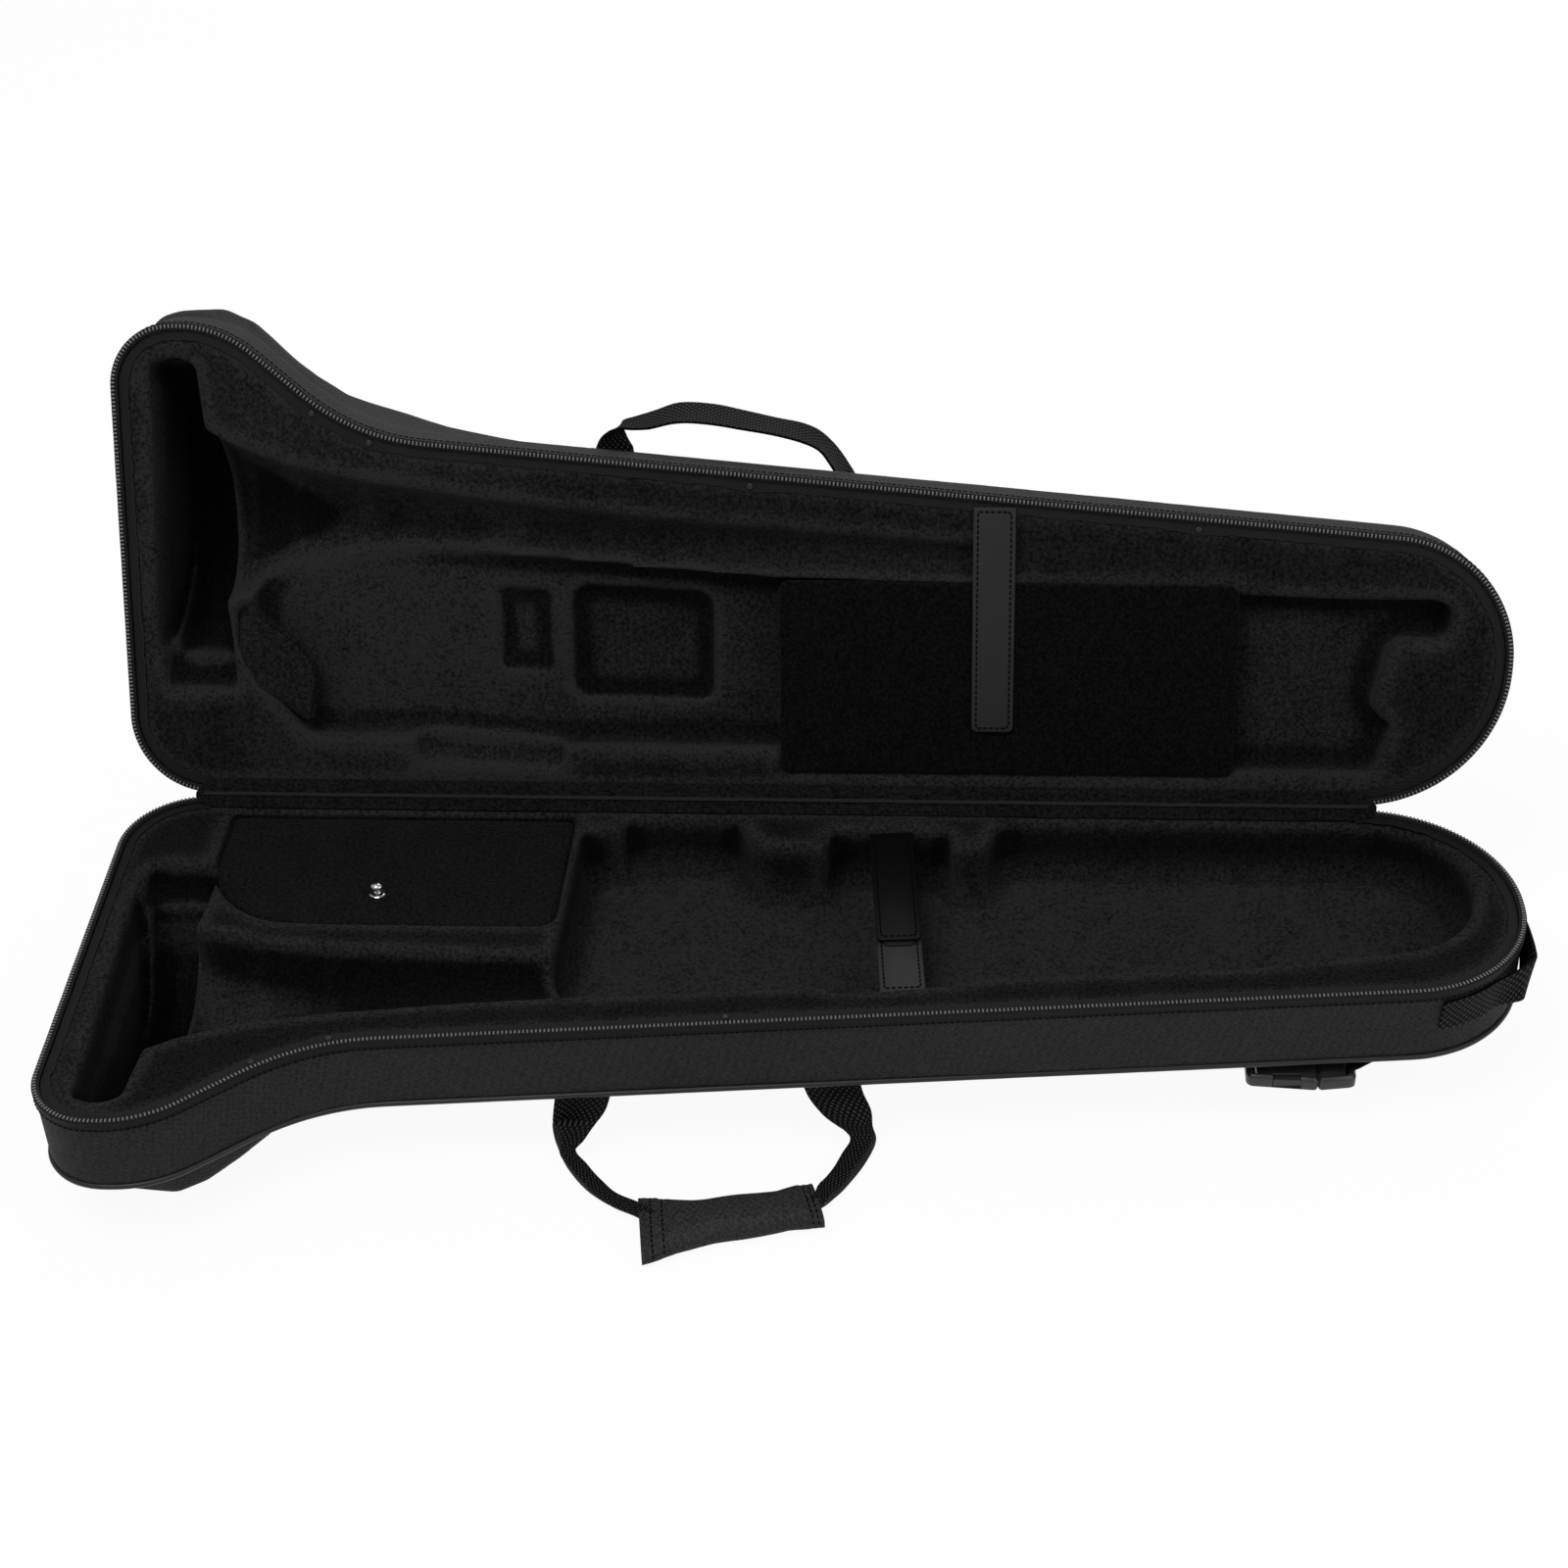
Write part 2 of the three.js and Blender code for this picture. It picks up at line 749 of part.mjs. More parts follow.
function baseLining() {
  const channel = recess(sharedCorners(channelShares), channelDepth);
  const seat = plate(accessoryCorners, -doorSeatDepth, overrun, -doorGap);
  const well = pad(accessoryCorners, -accessoryDepth, overrun, tightRound / 2, doorLedge);
  return cut(liningBlank(baseHalf), bellHorn(), bellRimSlot(), rimTray(), channel, seat, well);
}

const slideShares = [
  [0.131, 0.138, tightRound],
  [0.098, 0.27, mediumRound],
  [0.098, 0.43, mediumRound],
  [0.12, 0.59, wideRound],
  [0.478, 0.686, wideRound],
  [0.894, 0.752, wideRound],
  [0.958, 0.775, mediumRound],
  [0.959, 0.63, mediumRound],
  [0.914, 0.612, mediumRound],
  [0.903, 0.336, mediumRound],
  [0.92, 0.3, tightRound],
  [0.908, 0.11, mediumRound],
  [0.806, 0.105, mediumRound],
  [0.478, 0.152, mediumRound],
  [0.324, 0.144, mediumRound],
  [0.214, 0.168, tightRound],
  [0.202, 0.16, tightRound],
];

const smallWellShares = [
  [0.273, 0.34, tightRound],
  [0.273, 0.59, tightRound],
  [0.314, 0.59, tightRound],
  [0.314, 0.34, tightRound],
];

const largeWellShares = [
  [0.327, 0.27, mediumRound],
  [0.327, 0.61, mediumRound],
  [0.432, 0.61, mediumRound],
  [0.432, 0.27, mediumRound],
];

const barWellShares = [
  [0.213, 0.09, tightRound],
  [0.213, 0.18, tightRound],
  [0.32, 0.17, tightRound],
  [0.32, 0.08, tightRound],
];

const padShares = [
  [0.086, 0.318, mediumRound],
  [0.088, 0.4, tightRound],
  [0.101, 0.413, tightRound],
  [0.124, 0.398, mediumRound],
  [0.142, 0.3, mediumRound],
  [0.141, 0.168, tightRound],
  [0.121, 0.21, mediumRound],
  [0.106, 0.278, mediumRound],
];

const coverCorners = [
  corner(coverLeft, coverBack, coverEdgeRound),
  corner(coverLeft, coverFront, coverEdgeRound),
  corner(coverRight, coverFront, coverEdgeRound),
  corner(coverRight, coverBack, coverEdgeRound),
];

function lidLining() {
  const slide = recess(sharedCorners(slideShares), slideDepth);
  const wells = [
    [smallWellShares, smallWellDepth],
    [largeWellShares, largeWellDepth],
    [barWellShares, barWellDepth],
  ].map(([shares, depth]) => recess(sharedCorners(shares), depth));
  const coverSeat = plate(coverCorners, -coverDrop - coverThickness - gap, overrun, -coverSeatGap);
  const padSeat = plate(sharedCorners(padShares), -padDrop - padThickness - gap, overrun, -padMargin);
  return cut(liningBlank(lidHalf), bellHorn(), bellRimSlot(), rimTray(), slide, coverSeat, padSeat, ...wells);
}

const crookPad = () => pad(sharedCorners(padShares), -padDrop - padThickness, -padDrop, padEdge);

// Boards, knob and straps

const doorTop = -doorSeatDepth + gap + doorThickness;
const accessoryDoor = () => pad(accessoryCorners, doorTop - doorThickness, doorTop, padEdge / 2);

function knobPlate() {
  const top = knobPlateThickness;
  return turned(
    [
      [0, 0],
      [knobPlateRadius, 0],
      [knobPlateRadius - top / 2, top],
      [0, top],
    ],
    24,
  );
}

function knob() {
  const neck = knobHeight * 0.45;
  return turned(
    [
      [0, 0],
      [knobStemRadius * 1.4, 0],
      [knobStemRadius, knobHeight * 0.15],
      [knobStemRadius, neck],
      [knobHeadRadius, neck + knobHeight * 0.12],
      [knobHeadRadius, knobHeight * 0.75],
      [knobHeadRadius * 0.8, knobHeight * 0.93],
      [knobHeadRadius * 0.4, knobHeight],
      [0, knobHeight],
    ],
    20,
  );
}

const rivet = () =>
  turned(
    [
      [0, 0],
      [rivetRadius, 0],
      [rivetRadius * 0.8, rivetHeight * 0.7],
      [rivetRadius * 0.4, rivetHeight],
      [0, rivetHeight],
    ],
    14,
  );

// A flat strap about its own middle line, running from its root towards -y
function strapBody(width, length, thickness) {
  const corners = [
    corner(-width / 2, 0, 0),
    corner(-width / 2, length, strapRound),
    corner(width / 2, length, strapRound),
    corner(width / 2, 0, 0),
  ];
  return plate(corners, -thickness, 0);
}

// Hinge fabric: a section of y and z points along the hinge line
function alongHinge(section, ends) {
  const low = hingeBellRadius + ends;
  const high = caseLength - tailHingeRadius - ends;
  return loft([low, high].map((x) => section.map(([y, z]) => new THREE.Vector3(x, y, z))));
}

// A point of the open lid, from its setback and depth in the lid, in the base's frame
function lidPoint(y, depth) {
  const turnedPoint = new THREE.Vector2(y - hingeOverhang, depth).rotateAround(new THREE.Vector2(), -lidOpen);
  return [turnedPoint.x + hingeOverhang, turnedPoint.y];
}

function hingeStrip() {
  const reach = hingeStripWidth;
  const low = [-reach, -liningDrop + gap];
  const middle = [-hingeStripSag, hingeStripSag];
  const section = [
    low,
    middle,
    lidPoint(-reach, liningDrop - gap),
    lidPoint(-reach, liningDrop - gap - fabricThickness),
    [middle[0] - fabricThickness, middle[1] + fabricThickness],
    [low[0], low[1] + fabricThickness],
  ];
  return alongHinge(section, hingeStripEnds);
}

function hingeWeb() {
  const near = gap;
  const far = gap + fabricThickness;
  const section = [
    [near, -webDrop],
    [far, -webDrop],
    [far, -fabricThickness],
    lidPoint(far, webDrop),
    lidPoint(near, webDrop),
    lidPoint(near, rimDrop),
    [near, -rimDrop / 2],
  ];
  return alongHinge(section, hingeWebEnds);
}

// Zipper sliders behind the hinge ends, with pulls that hang

function slider() {
  const corners = [
    corner(-sliderLength / 2, 0, sliderHeight / 4),
    corner(-sliderLength / 2, sliderHeight, sliderHeight / 4),
    corner(sliderLength / 2, sliderHeight, sliderHeight / 4),
    corner(sliderLength / 2, 0, sliderHeight / 4),
  ];
  return plate(corners, 0, sliderWidth).rotate([90, 0, 180]);
}

function pullTab() {
  const half = pullWidth / 2;
  const corners = [
    corner(-half * 0.6, 0, half * 0.4),
    corner(-half, pullLength, half * 0.8),
    corner(half, pullLength, half * 0.8),
    corner(half * 0.6, 0, half * 0.4),
  ];
  return plate(corners, 0, pullThickness).rotate([90, 0, 180]);
}

// Pack under the base

const packCorners = () => [
  corner(packStart, packBackSetback, packRound),
  corner(packStart, widthAt(packStart) - packFrontSetback, packRound),
  corner(packEnd, widthAt(packEnd) - packFrontSetback, packRound),
  corner(packEnd, packBackSetback, packRound),
];

const packBody = () => pad(packCorners(), -bellDepth, -baseDepth - gap, packEdge);

// Handles

// How far the front edge falls back per length along the case, past the throat
const frontSlope = (throatWidth - tailWidth) / (caseLength - throatPlace);

// Height of the webbing's middle where it passes under the piping
const underPiping = (half) => pipingDrop(half) - pipingRadius - gap - webbingThickness / 2;

// Webbing on the outer face that dips under the piping and ends at a handle's foot
function webbingRun(half, place, width) {
  const face = -half.depth - gap - webbingThickness / 2;
  const under = underPiping(half);
  const edge = widthAt(place);
  const stations = [
    [edge - runLength, face],
    [edge - edgeChamfer - 4 * pipingRadius, face],
    [edge - edgeChamfer - pipingRadius, under],
    [edge + footClearance - webbingThickness / 2 - gap, under],
  ];
  const side = [1, frontSlope, 0];
  return ribbon(
    stations.map(([setback, z]) => ({ at: [place, -setback, z], side, width })),
    webbingThickness,
  );
}

const gripDrop = -bellDepth + floorGap + gripThickness / 2;
const gripSetback = widthAt((footLeft + footRight) / 2) + footClearance + gripReach;

function gripBody() {
  const across = gripThickness / 2;
  const corners = [
    corner(-gripWidth / 2, -across, gripCorner),
    corner(-gripWidth / 2, across, gripCorner),
    corner(gripWidth / 2, across, gripCorner),
    corner(gripWidth / 2, -across, gripCorner),
  ];
  const bar = pad(corners, -gripLength / 2, gripLength / 2, padEdge).rotate([0, 90, 0]).rotate([90, 0, 0]);
  const turnDegrees = THREE.MathUtils.radToDeg(gripTurn);
  return moved(bar.rotate([0, 0, turnDegrees]), gripPlace, -gripSetback, gripDrop);
}

// Places on a handle leg: shares of the way along, out, down, of the bow, of the narrowing and of the turn
const legShares = [
  [0, 0, 0, 0, 0, 0],
  [0, 0.02, 0.2, 0.35, 0.3, 0],
  [0, 0.06, 0.54, 1, 0.8, 0],
  [0.12, 0.22, 0.95, 0.87, 1, 0.1],
  [0.3, 0.36, 1.06, 0.65, 1, 0.35],
  [0.6, 0.62, 1.06, 0.35, 1, 0.7],
  [1, 1, 1, 0, 0.9, 1],
];

// A leg from its foot under the edge, down to the floor and over to the end of the grip
function handleLeg(foot, side, bow) {
  const reach = gripLength / 2 + 2 * gap;
  const endX = gripPlace + side * reach * Math.cos(gripTurn) - legEndShift * Math.sin(gripTurn);
  const endY = -gripSetback + side * reach * Math.sin(gripTurn) + legEndShift * Math.cos(gripTurn);
  const footY = -widthAt(foot) - footClearance;
  const footZ = underPiping(baseHalf);
  const endZ = gripDrop - gripThickness / 4;
  const startAngle = Math.atan(frontSlope);
  const endAngle = gripTurn - (side * Math.PI) / 2;
  const stations = legShares.map(([along, out, down, bowShare, narrowing, turnShare]) => {
    const angle = THREE.MathUtils.lerp(startAngle, endAngle, turnShare);
    return {
      at: [
        THREE.MathUtils.lerp(foot, endX, along) + side * bow * bowShare,
        THREE.MathUtils.lerp(footY, endY, out),
        THREE.MathUtils.lerp(footZ, endZ, down),
      ],
      side: [Math.cos(angle), Math.sin(angle), 0],
      width: THREE.MathUtils.lerp(webbingWidth, legWidth, narrowing),
    };
  });
  return smoothRibbon(stations, webbingThickness, 18);
}

// Places on the lid's loop: shares of the way along, of the height and of the quarter turn of the webbing
const lidLoopShares = [
  [0, 0, 0],
  [0.01, 0.2, 0.1],
  [0.08, 0.56, 0.7],
  [0.2, 0.86, 1],
  [0.38, 1, 1],
  [0.6, 0.95, 1],
  [0.8, 0.78, 1],
  [0.94, 0.48, 1],
  [1, 0.17, 1],
];

// The lid's plain loop stands upright above the open lid's edge, its webbing turned flat side up
function lidLoop() {
  const lean = Math.PI - lidOpen;
  const up = [-Math.sin(lean), -Math.cos(lean)];
  const depth = -underPiping(lidHalf);
  return smoothRibbon(
    lidLoopShares.map(([along, rise, turnShare]) => {
      const x = THREE.MathUtils.lerp(lidFootLeft, lidFootRight, along);
      const height = rise * lidHandleHeight;
      const angle = (turnShare * Math.PI) / 2;
      const across = Math.sin(angle);
      return {
        at: [x, -widthAt(x) - footClearance - gap + up[0] * height, -depth - up[1] * height],
        side: [Math.cos(angle), across * up[1] * -1, across * up[0] * -1],
        width: lidHandleWidth,
      };
    }),
    webbingThickness,
    26,
  );
}

// Grab loop round the tail

function tailLoop() {
  const seatOffset = gap + webbingThickness / 2;
  const wall = outline(-seatOffset);
  const frontEnd = caseLength - loopFrontLength;
  const backEnd = loopBackSetback;
  const along = wall.filter((p) => p.x > frontEnd && p.y < -backEnd && p.x > caseLength / 2);
  const first = new THREE.Vector2(frontEnd, -widthAt(frontEnd) - seatOffset);
  const last = new THREE.Vector2(caseLength + seatOffset, -backEnd);
  const route = [first, ...along.filter((p) => p.y < -tailHingeRadius), last];
  const middle = route.length - 1;
  const places = route.map((p, i) => {
    const share = i / middle;
    const out = share < 0.35 ? 0 : Math.sin((Math.PI * (share - 0.35)) / 0.65);
    const reach = Math.max(out, 0) * loopStandOff;
    return [p.x + reach, p.y - reach * 0.25, -loopDrop - loopWidth / 2];
  });
  return ribbon(
    places.map((at) => ({ at, side: [0, 0, 1], width: loopWidth })),
    webbingThickness,
  );
}

// Side-release buckle: the plug's prongs lie in the socket, and their shoulders show in the side windows

function webbingSlot(place) {
  const half = buckleWebbingWidth / 2 + prongGap;
  const thick = buckleThickness / 2 + overrun;
  return block([place - buckleSlot / 2, -half, -thick], [place + buckleSlot / 2, half, thick]);
}

function socketBody() {
  const half = buckleWidth / 2;
  const thick = buckleThickness / 2;
  const outer = [
    corner(-socketLength, half * 0.82, buckleCorner),
    corner(0, half, buckleCorner / 2),
    corner(0, -half, buckleCorner / 2),
    corner(-socketLength, -half * 0.82, buckleCorner),
  ];
  const shape = pad(outer, -thick, thick, buckleWall);
  const mouthHalf = half - buckleWall;
  const mouthLow = -prongLength - prongGap;
  const mouthThick = prongThickness / 2 + prongGap;
  const mouth = block([mouthLow, -mouthHalf, -mouthThick], [overrun, mouthHalf, mouthThick]);
  const windows = [-1, 1].map((side) => {
    const near = side * (half - windowDepth);
    const far = side * (half + overrun);
    return block(
      [mouthLow, Math.min(near, far), -mouthThick],
      [mouthLow + windowLength, Math.max(near, far), thick + overrun],
    );
  });
  return cut(shape, mouth, ...windows, webbingSlot(buckleBar + buckleSlot / 2 - socketLength));
}

function plugBody() {
  const half = buckleWidth / 2;
  const thick = buckleThickness / 2;
  const base = [
    corner(prongGap, half, buckleCorner / 2),
    corner(plugBaseLength, half * 0.8, buckleCorner),
    corner(plugBaseLength, -half * 0.8, buckleCorner),
    corner(prongGap, -half, buckleCorner / 2),
  ];
  const armOuter = half - buckleWall - prongGap;
  const arm = (low, high, length) =>
    block([-length, low, -prongThickness / 2], [buckleCorner, high, prongThickness / 2]);
  const shape = joined(
    pad(base, -thick, thick, buckleWall),
    arm(-armOuter, prongWidth - armOuter, prongLength),
    arm(armOuter - prongWidth, armOuter, prongLength),
    arm(-guideWidth / 2, guideWidth / 2, prongLength * 0.8),
  );
  return cut(shape, webbingSlot(plugBaseLength - buckleBar - buckleSlot / 2));
}

// Webbing threaded through a buckle's slot, over the end bar and up to where it is sewn under the base
function buckleWebbing(side, y, z) {
  const bodyLength = side < 0 ? socketLength : plugBaseLength;
  const slotX = bodyLength - buckleBar - buckleSlot / 2;
  const thick = buckleThickness / 2;
  const sewn = -baseDepth - gap - webbingThickness * 0.4;
  const rise = sewn - z;
  const stations = [
    [slotX, -thick * 0.8, 0],
    [slotX, thick * 0.5, 0],
    [slotX + webbingThickness * 0.3, thick + webbingThickness * 0.7, 0],
    [slotX + buckleBar + buckleSlot, THREE.MathUtils.lerp(thick, rise, 0.55), 0.2],
    [slotX + buckleWebbingRun * 0.6, rise, 0.8],
    [slotX + buckleWebbingRun, rise, 1],
  ];
  return smoothRibbon(
    stations.map(([out, up, shift]) => ({
      at: [buckleJoint + side * out, y + shift * buckleSewnShift, z + up],
      side: [0, 1, 0],
      width: buckleWebbingWidth,
    })),
    webbingThickness * 0.8,
    12,
  );
}

// Assembly

const base = new THREE.Group();
base.position.set(-caseLength / 2, hingeSetback, rimHeight);

const lidHinge = new THREE.Group();
lidHinge.position.set(-caseLength / 2, hingeSetback + hingeOverhang, rimHeight);
lidHinge.rotation.x = -lidOpen;
const lid = new THREE.Group();
lid.position.y = -hingeOverhang;
lid.scale.z = -1;
lidHinge.add(lid);

base.add(
  piece("base_shell", "twill", shellBody(baseHalf)),
  piece("base_piping", "twill", pipingBody(baseHalf)),
  piece("base_lining", "plush", baseLining()),
  piece("base_zipper", "zipper", zipperBody()),
  piece("base_flange", "twill", flangeBody()),
  piece("accessory_door", "plush", accessoryDoor()),
  piece("harness_pack", "twill", packBody()),
  piece("base_run_left", "webbing", webbingRun(baseHalf, footLeft, webbingWidth)),
  piece("base_run_right", "webbing", webbingRun(baseHalf, footRight, webbingWidth)),
  piece("handle_leg_left", "webbing", handleLeg(footLeft, -1, legBowLeft)),
  piece("handle_leg_right", "webbing", handleLeg(footRight, 1, legBowRight)),
  piece("handle_grip", "twill", gripBody()),
  piece("tail_loop", "webbing", tailLoop()),
  piece("hinge_strip", "twill", hingeStrip()),
  piece("hinge_web", "twill", hingeWeb()),
);

base.add(piece("knob_plate", "chrome", moved(knobPlate(), knobPlace, -knobSetback, doorTop + gap)));
const knobFoot = doorTop + knobPlateThickness + 2 * gap;
base.add(piece("door_knob", "chrome", moved(knob(), knobPlace, -knobSetback, knobFoot)));

// Straps over the instrument
const turnedStrap = (body) => body.rotate([0, 0, -THREE.MathUtils.radToDeg(baseStrapTurn)]);
const upperLength = upperStrapTip - upperStrapRoot;
const upperStrap = turnedStrap(strapBody(baseStrapWidth, upperLength, strapThickness));
const upperAt = [baseStrapPlace, -upperStrapRoot, -baseStrapDrop];
base.add(piece("strap_upper", "leatherette", moved(upperStrap, ...upperAt)));

const hookBody = strapBody(baseStrapWidth * 0.7, hookLength, hookThickness);
const hookStrip = turnedStrap(moved(hookBody, 0, -upperLength + hookLength * 0.8, 0));
const hookDrop = baseStrapDrop + strapThickness + gap;
base.add(piece("hook_strip", "webbing", moved(hookStrip, baseStrapPlace, -upperStrapRoot, -hookDrop)));

const lowerLength = lowerStrapRoot - lowerStrapTip;
const lowerShift = (lowerStrapRoot - upperStrapRoot) * Math.tan(-baseStrapTurn);
const lowerBody = strapBody(baseStrapWidth, lowerLength, strapThickness).rotate([0, 0, 180]);
const lowerAt = [baseStrapPlace + lowerShift, -lowerStrapRoot, -hookDrop - hookThickness - gap];
base.add(piece("strap_lower", "leatherette", moved(turnedStrap(lowerBody), ...lowerAt)));

// Rivets through the flange, as shares of the case length
function addRivets(half, prefix, lengthShares) {
  const inset = shellWall + gap + flangeWidth * 0.55;
  lengthShares.forEach((share, i) => {
    const along = share * caseLength;
    const body = moved(rivet(), along, -edgeAt(along, inset), -flangeDrop + gap);
    half.add(piece(prefix + (i + 1), "twill", body));
  });
}
addRivets(base, "base_rivet_", [0.148, 0.195, 0.458]);
addRivets(lid, "lid_rivet_", [0.15, 0.19, 0.461, 0.777]);

// Sliders and pulls
const sliderPlaces = {
  bell: hingeBellRadius - sliderInset / 2,
  tail: caseLength - tailHingeRadius + sliderInset / 2,
};
const sliderFace = bandThickness + 2 * gap;
const pullFace = sliderFace + sliderWidth + gap;
for (const [end, along] of Object.entries(sliderPlaces)) {
  base.add(piece("slider_" + end, "zipper", moved(slider(), along, sliderFace, -sliderDrop)));
  const pull = moved(pullTab(), along, pullFace, -sliderDrop - sliderHeight / 2);
  base.add(piece("pull_" + end, "zipper", pull));
}

// Buckle
const buckleSetback = widthAt(buckleJoint) + buckleOverhang - buckleWidth / 2;
const buckleZ = -baseDepth - buckleDrop - buckleThickness / 2;
base.add(
  piece("buckle_socket", "plastic", moved(socketBody(), buckleJoint, -buckleSetback, buckleZ)),
  piece("buckle_plug", "plastic", moved(plugBody(), buckleJoint, -buckleSetback, buckleZ)),
  piece("socket_webbing", "webbing", buckleWebbing(-1, -buckleSetback, buckleZ)),
  piece("plug_webbing", "webbing", buckleWebbing(1, -buckleSetback, buckleZ)),
);

// Lid pieces
const slideStrapRoot = widthAt(slideStrapPlace) - slideStrapRootSetback;
const slideStrap = strapBody(slideStrapWidth, slideStrapLength, strapThickness).rotate([0, 0, 180]);
lid.add(
  piece("lid_shell", "twill", shellBody(lidHalf)),
  piece("lid_piping", "twill", lidPipingBody()),
  piece("lid_lining", "plush", lidLining()),
  piece("lid_zipper", "zipper", zipperBody()),
  piece("lid_flange", "twill", flangeBody()),
  piece("slide_cover", "plush", pad(coverCorners, -coverDrop - coverThickness, -coverDrop, padEdge / 2)),
  piece("slide_strap", "leatherette", moved(slideStrap, slideStrapPlace, -slideStrapRoot, -slideStrapDrop)),
  piece("crook_pad", "plush", crookPad()),
  piece("lid_run_left", "webbing", webbingRun(lidHalf, lidFootLeft, lidHandleWidth)),
  piece("lid_run_right", "webbing", webbingRun(lidHalf, lidFootRight, lidHandleWidth)),
  piece("lid_handle", "webbing", lidLoop()),
);

const tromboneCase = new THREE.Group();
tromboneCase.add(base, lidHinge);

export default tromboneCase;
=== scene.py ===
"""Looks of a soft trombone case, open on a floor: twill shells, plush linings, zipper, webbing and straps.

Both halves are modelled in their own frame, in metres: x from the bell end, y = 0 on the hinge line and
negative towards the front edge, z = 0 on the rim and negative into the half. settle() puts a piece where the
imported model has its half.
"""

import math
from contextlib import contextmanager

import bmesh
import bpy
import numpy as np
from bpy.props import FloatProperty, FloatVectorProperty, IntProperty, PointerProperty
from mathutils import Matrix, Vector, noise


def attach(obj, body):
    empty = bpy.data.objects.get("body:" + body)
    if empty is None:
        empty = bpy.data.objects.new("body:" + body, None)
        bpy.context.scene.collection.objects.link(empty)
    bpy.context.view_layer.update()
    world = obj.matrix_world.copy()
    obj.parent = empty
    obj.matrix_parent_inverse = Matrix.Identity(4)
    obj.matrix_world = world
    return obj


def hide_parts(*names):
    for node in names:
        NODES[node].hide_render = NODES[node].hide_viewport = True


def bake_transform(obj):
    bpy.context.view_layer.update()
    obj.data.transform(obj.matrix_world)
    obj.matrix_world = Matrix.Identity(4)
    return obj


bl_info = {
    "name": "Trombone case",
    "version": (1, 0, 0),
    "blender": (4, 5, 0),
    "location": "3D View > Sidebar > Case",
    "description": "Models the fabric, foam, zipper and webbing of an open trombone case",
    "category": "Object",
}

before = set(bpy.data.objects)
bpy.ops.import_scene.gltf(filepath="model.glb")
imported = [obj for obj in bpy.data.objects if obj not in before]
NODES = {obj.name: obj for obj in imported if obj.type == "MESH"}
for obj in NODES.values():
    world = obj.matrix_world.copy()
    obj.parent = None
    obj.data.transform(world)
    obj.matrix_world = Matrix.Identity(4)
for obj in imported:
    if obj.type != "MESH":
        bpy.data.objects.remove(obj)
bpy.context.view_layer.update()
MM = 0.001
UP = Vector((0, 0, 1))

# Places of both halves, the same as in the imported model
HINGE_SETBACK = 0.110
RIM_HEIGHT = 0.116
HALF_LENGTH = 0.5
HINGE_OVERHANG = 0.002
LID_OPEN = math.radians(108.3)
BASE_PLACE = Matrix.Translation((-HALF_LENGTH, HINGE_SETBACK, RIM_HEIGHT))
LID_PLACE = (
    Matrix.Translation((-HALF_LENGTH, HINGE_SETBACK + HINGE_OVERHANG, RIM_HEIGHT))
    @ Matrix.Rotation(-LID_OPEN, 4, "X")
    @ Matrix.Translation((0, -HINGE_OVERHANG, 0))
    @ Matrix.Diagonal((1, 1, -1, 1))
)
HALVES = {
    "base": {"place": BASE_PLACE, "depth": 62, "piping_inset": -0.5, "tuck": 1.3},
    "lid": {"place": LID_PLACE, "depth": 45, "piping_inset": 2.2, "tuck": 1.5},
}

# Outline of both halves in millimetres: place along, setback from the hinge line and corner radius
CASE_LENGTH = 1000
BELL_END_WIDTH = 346
THROAT_WIDTH = 267
TAIL_WIDTH = 190
SHOULDER_PLACE = 88
THROAT_PLACE = 180
OUTLINE_CORNERS = [
    (0, 0, 56),
    (9, BELL_END_WIDTH, 46),
    (SHOULDER_PLACE, BELL_END_WIDTH, 80),
    (THROAT_PLACE, THROAT_WIDTH, 150),
    (CASE_LENGTH, TAIL_WIDTH, 90),
    (CASE_LENGTH, 0, 104),
]
CORNER_STEP = math.radians(3)
SHELL_WALL = 4
RIM_DROP = 2.5
GAP = 0.3
FLOOR_LEVEL = -116
LID_BULGE_END = 335
FRONT_SLOPE = (THROAT_WIDTH - TAIL_WIDTH) / (CASE_LENGTH - THROAT_PLACE)


# Sizes and colours that a user would change


def length_setting(name, description, default):
    return FloatProperty(name=name, description=description, default=default, unit="LENGTH")


def rounds_setting(name, description, default):
    return IntProperty(name=name, description=description, default=default, min=0, max=30)


def linear(code):
    """The linear red, green and blue of an sRGB hex value."""
    values = [int(code[i : i + 2], 16) / 255 for i in (1, 3, 5)]
    return tuple(v / 12.92 if v <= 0.04045 else ((v + 0.055) / 1.055) ** 2.4 for v in values)


def colour_setting(name, description, code):
    """A colour property from an sRGB hex value."""
    facts = {"subtype": "COLOR", "size": 3, "min": 0, "max": 1}
    return FloatVectorProperty(name=name, description=description, default=linear(code), **facts)


class CaseSizes(bpy.types.PropertyGroup):
    tooth_pitch: length_setting("Tooth pitch", "From one turn of the zipper's coil to the next", 0.0028)
    tooth_length: length_setting("Tooth length", "Length of a turn of the coil across the tape", 0.0027)
    shell_voxel: length_setting("Shell cell", "Cell size of the mesh that rounds the shells", 0.003)
    lining_voxel: length_setting("Lining cell", "Cell size of the mesh that rounds the linings", 0.003)
    fabric_thickness: length_setting("Shell thickness", "The shells' fabric with its backing", 0.0028)
    webbing_thickness: length_setting("Webbing thickness", "Thickness of the handle webbing", 0.002)
    stitch_pitch: length_setting("Stitch pitch", "Distance from one stitch to the next", 0.0042)
    flange_wave: length_setting("Ribbon wave", "Height of the waves in the ribbon", 0.0009)
    shell_rounds: rounds_setting("Shell smoothing", "Rounds that ease the shells' edges", 2)
    lining_rounds: rounds_setting("Lining smoothing", "Rounds that ease the moulded lips", 8)


